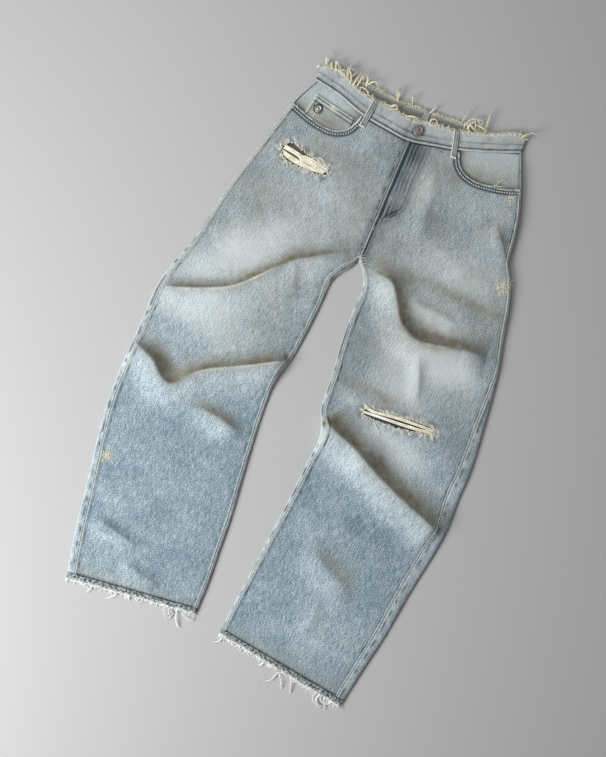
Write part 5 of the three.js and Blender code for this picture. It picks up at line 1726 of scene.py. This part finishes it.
def torn_fringe(rng, hole, spacing, short, away_spacing):
    """Ends that stick out from the torn edge, most of them into the hole."""
    middle = hole.mean(0)
    edge = on_top(hole[:, 0], hole[:, 1], 0.4)
    toward = np.arctan2(middle[1] - hole[:, 1], (middle[0] - hole[:, 0]) * 0.25)
    lines = fuzz_along(rng, edge, toward, spacing, short, 0.7, 0.4, edge[:, 2] + 0.3, 0.9)
    away = toward + math.pi
    lines += fuzz_along(rng, edge, away, away_spacing, (2, 5), 0.8, 0.4, edge[:, 2] + 0.9, 0.9)
    return lines


def stray_threads(rng, drawn, raised):
    """Loose threads that lie on the cloth along drawn paths, each path with its count."""
    return [on_top(line[:, 0], line[:, 1], raised)
            for points, count in drawn for line in drawn_thread(rng, points, 0, 0, 0, count)]


# each bundle: its upper line, its lower line, how many yarns, how far they sag and how high they lie
HIP_BUNDLES = [
    ([(-214, 147), (-196, 145), (-175, 141), (-150, 137)],
     [(-215, 140), (-197, 138), (-176, 134), (-152, 131)], 22, 1.2, 0.2),
    ([(-184, 138), (-168, 143), (-146, 141), (-124, 136)],
     [(-178, 131), (-164, 131), (-146, 128), (-124, 128)], 30, 0.8, 0.9),
    ([(-216, 137), (-202, 134), (-181, 131), (-150, 128), (-127, 129)],
     [(-210, 129), (-199, 125), (-178, 122), (-150, 121.5), (-128, 124)], 26, 0.8, 0.5)]
HIP_STRAYS = [
    ([(-206, 124), (-198, 117), (-192, 110)], 3), ([(-146, 150), (-138, 148), (-129, 138)], 3),
    ([(-125, 194), (-131, 179), (-138, 165)], 1), ([(-217, 140), (-222, 132)], 3)]
KNEE_BUNDLES = [
    ([(112, -244), (130, -248.5), (181, -241.5), (250, -238)],
     [(112, -248), (130, -253), (181, -247), (250, -243)], 14, 0.6, 0.9),
    ([(114, -256), (162, -252.5), (205, -249), (252, -244)],
     [(114, -260), (162, -257), (205, -254), (250, -249)], 13, 0.6, 0.8),
    ([(200, -249), (225, -247), (254, -240)], [(200, -252), (225, -251), (252, -251)], 8, 0.3, 1.4)]
KNEE_STRAYS = [
    ([(136, -262), (144, -272), (158, -285), (154, -289), (151, -297)], 2),
    ([(235, -253), (231, -262), (227, -270)], 3), ([(213, -257), (209, -265), (215, -263), (217, -257)], 3),
    ([(130, -251), (116, -247), (110, -242)], 3), ([(123, -263), (117, -271)], 3),
    ([(240, -243), (250, -250), (254, -256)], 4)]
for place, hole, bundles, fringe, strays in (
        ("hip", HIP_HOLE, HIP_BUNDLES, (3.2, (1, 3), 2.6), HIP_STRAYS),
        ("knee", KNEE_HOLE, KNEE_BUNDLES, (3.0, (1, 2.6), 2.2), KNEE_STRAYS)):
    lines = [line for bundle in bundles for line in weft_bundle(rng, *bundle)]
    lines += torn_fringe(rng, hole, *fringe) + stray_threads(rng, strays, 0.9)
    fray_piece(f"rip_threads_{place}_weft", lines, rip_cotton, f"rip_threads_{place}")

# %% Little worn spots
# each spot: its place, its size, how many threads and how deep it lies
SPOTS = [(216, 217, 6, 26, 0), (266, 59, 12, 110, 0), (-298, -519, 9, 50, 0),
         (-157, 248, 4, 12, LAYER), (-184, 222, 3, 8, LAYER)]
MOUTH_STRAYS = [([(168, 223), (178, 226), (184, 238), (193, 246)], 4),
                ([(176, 228), (186, 230), (196, 234)], 4)]
spot_lines = []
for sx, sy, size, count, depth in SPOTS:
    for _ in range(count):
        px, py = rng.normal(sx, size * 0.55), rng.normal(sy, size * 0.7)
        line = strand(rng, (px, py, 0), rng.uniform(0, 2 * math.pi), rng.uniform(3, 8), 0.5, 0, 0, 4)
        arch = 0.6 * np.sin(np.linspace(0, math.pi, len(line)))
        spot_lines.append(on_top(line[:, 0], line[:, 1], 0.7 - depth + arch))
spot_lines += stray_threads(rng, MOUTH_STRAYS, 1.2)
fray_piece("worn_spot_threads", spot_lines, cotton_thread, None, radius=0.0004)

# %% [markdown]
# ## The cut of each cloth piece
# A sheet of cloth keeps its area when it is laid and creased. Each piece says the size it was cut
# to, with its flat area where it isn't a rectangle, so that the shapes above can be checked.

# %% Sheets
CUTS = [
    ("leg_front_right", .31, 1.02, .2890), ("leg_front_left", .33, 1.05, .3110),
    ("leg_back_right", .34, 1.02, .3150), ("leg_back_left", .37, 1.05, .3420),
    ("back_yoke_right", .24, .08, .0150), ("back_yoke_left", .24, .08, .0150),
    ("cut_waistband", .85, .045, .0330), ("roped_hem_right", .53, .011, None),
    ("roped_hem_left", .57, .011, None), ("pocket_facing_sheet_right", .14, .10, .0110),
    ("pocket_facing_sheet_left", .13, .11, .0115), ("coin_pocket_sheet", .088, .06, .0047),
    ("pocket_bag_sheet_right", .135, .127, .0158), ("pocket_bag_sheet_left", .132, .127, .0156),
    ("zip_tape_sheet", .042, .143, .0053), ("back_pocket_patch_right", .146, .155, .0196),
    ("back_pocket_patch_left", .146, .155, .0196),
]


def surface_of(piece):
    areas = np.empty(len(piece.data.polygons))
    piece.data.polygons.foreach_get("area", areas)
    return float(areas.sum())


for name, width, length, area in CUTS:
    piece = bpy.data.objects[name]
    print(f"{name}: made {surface_of(piece):.4f} of {area or width * length:.4f} square metres")
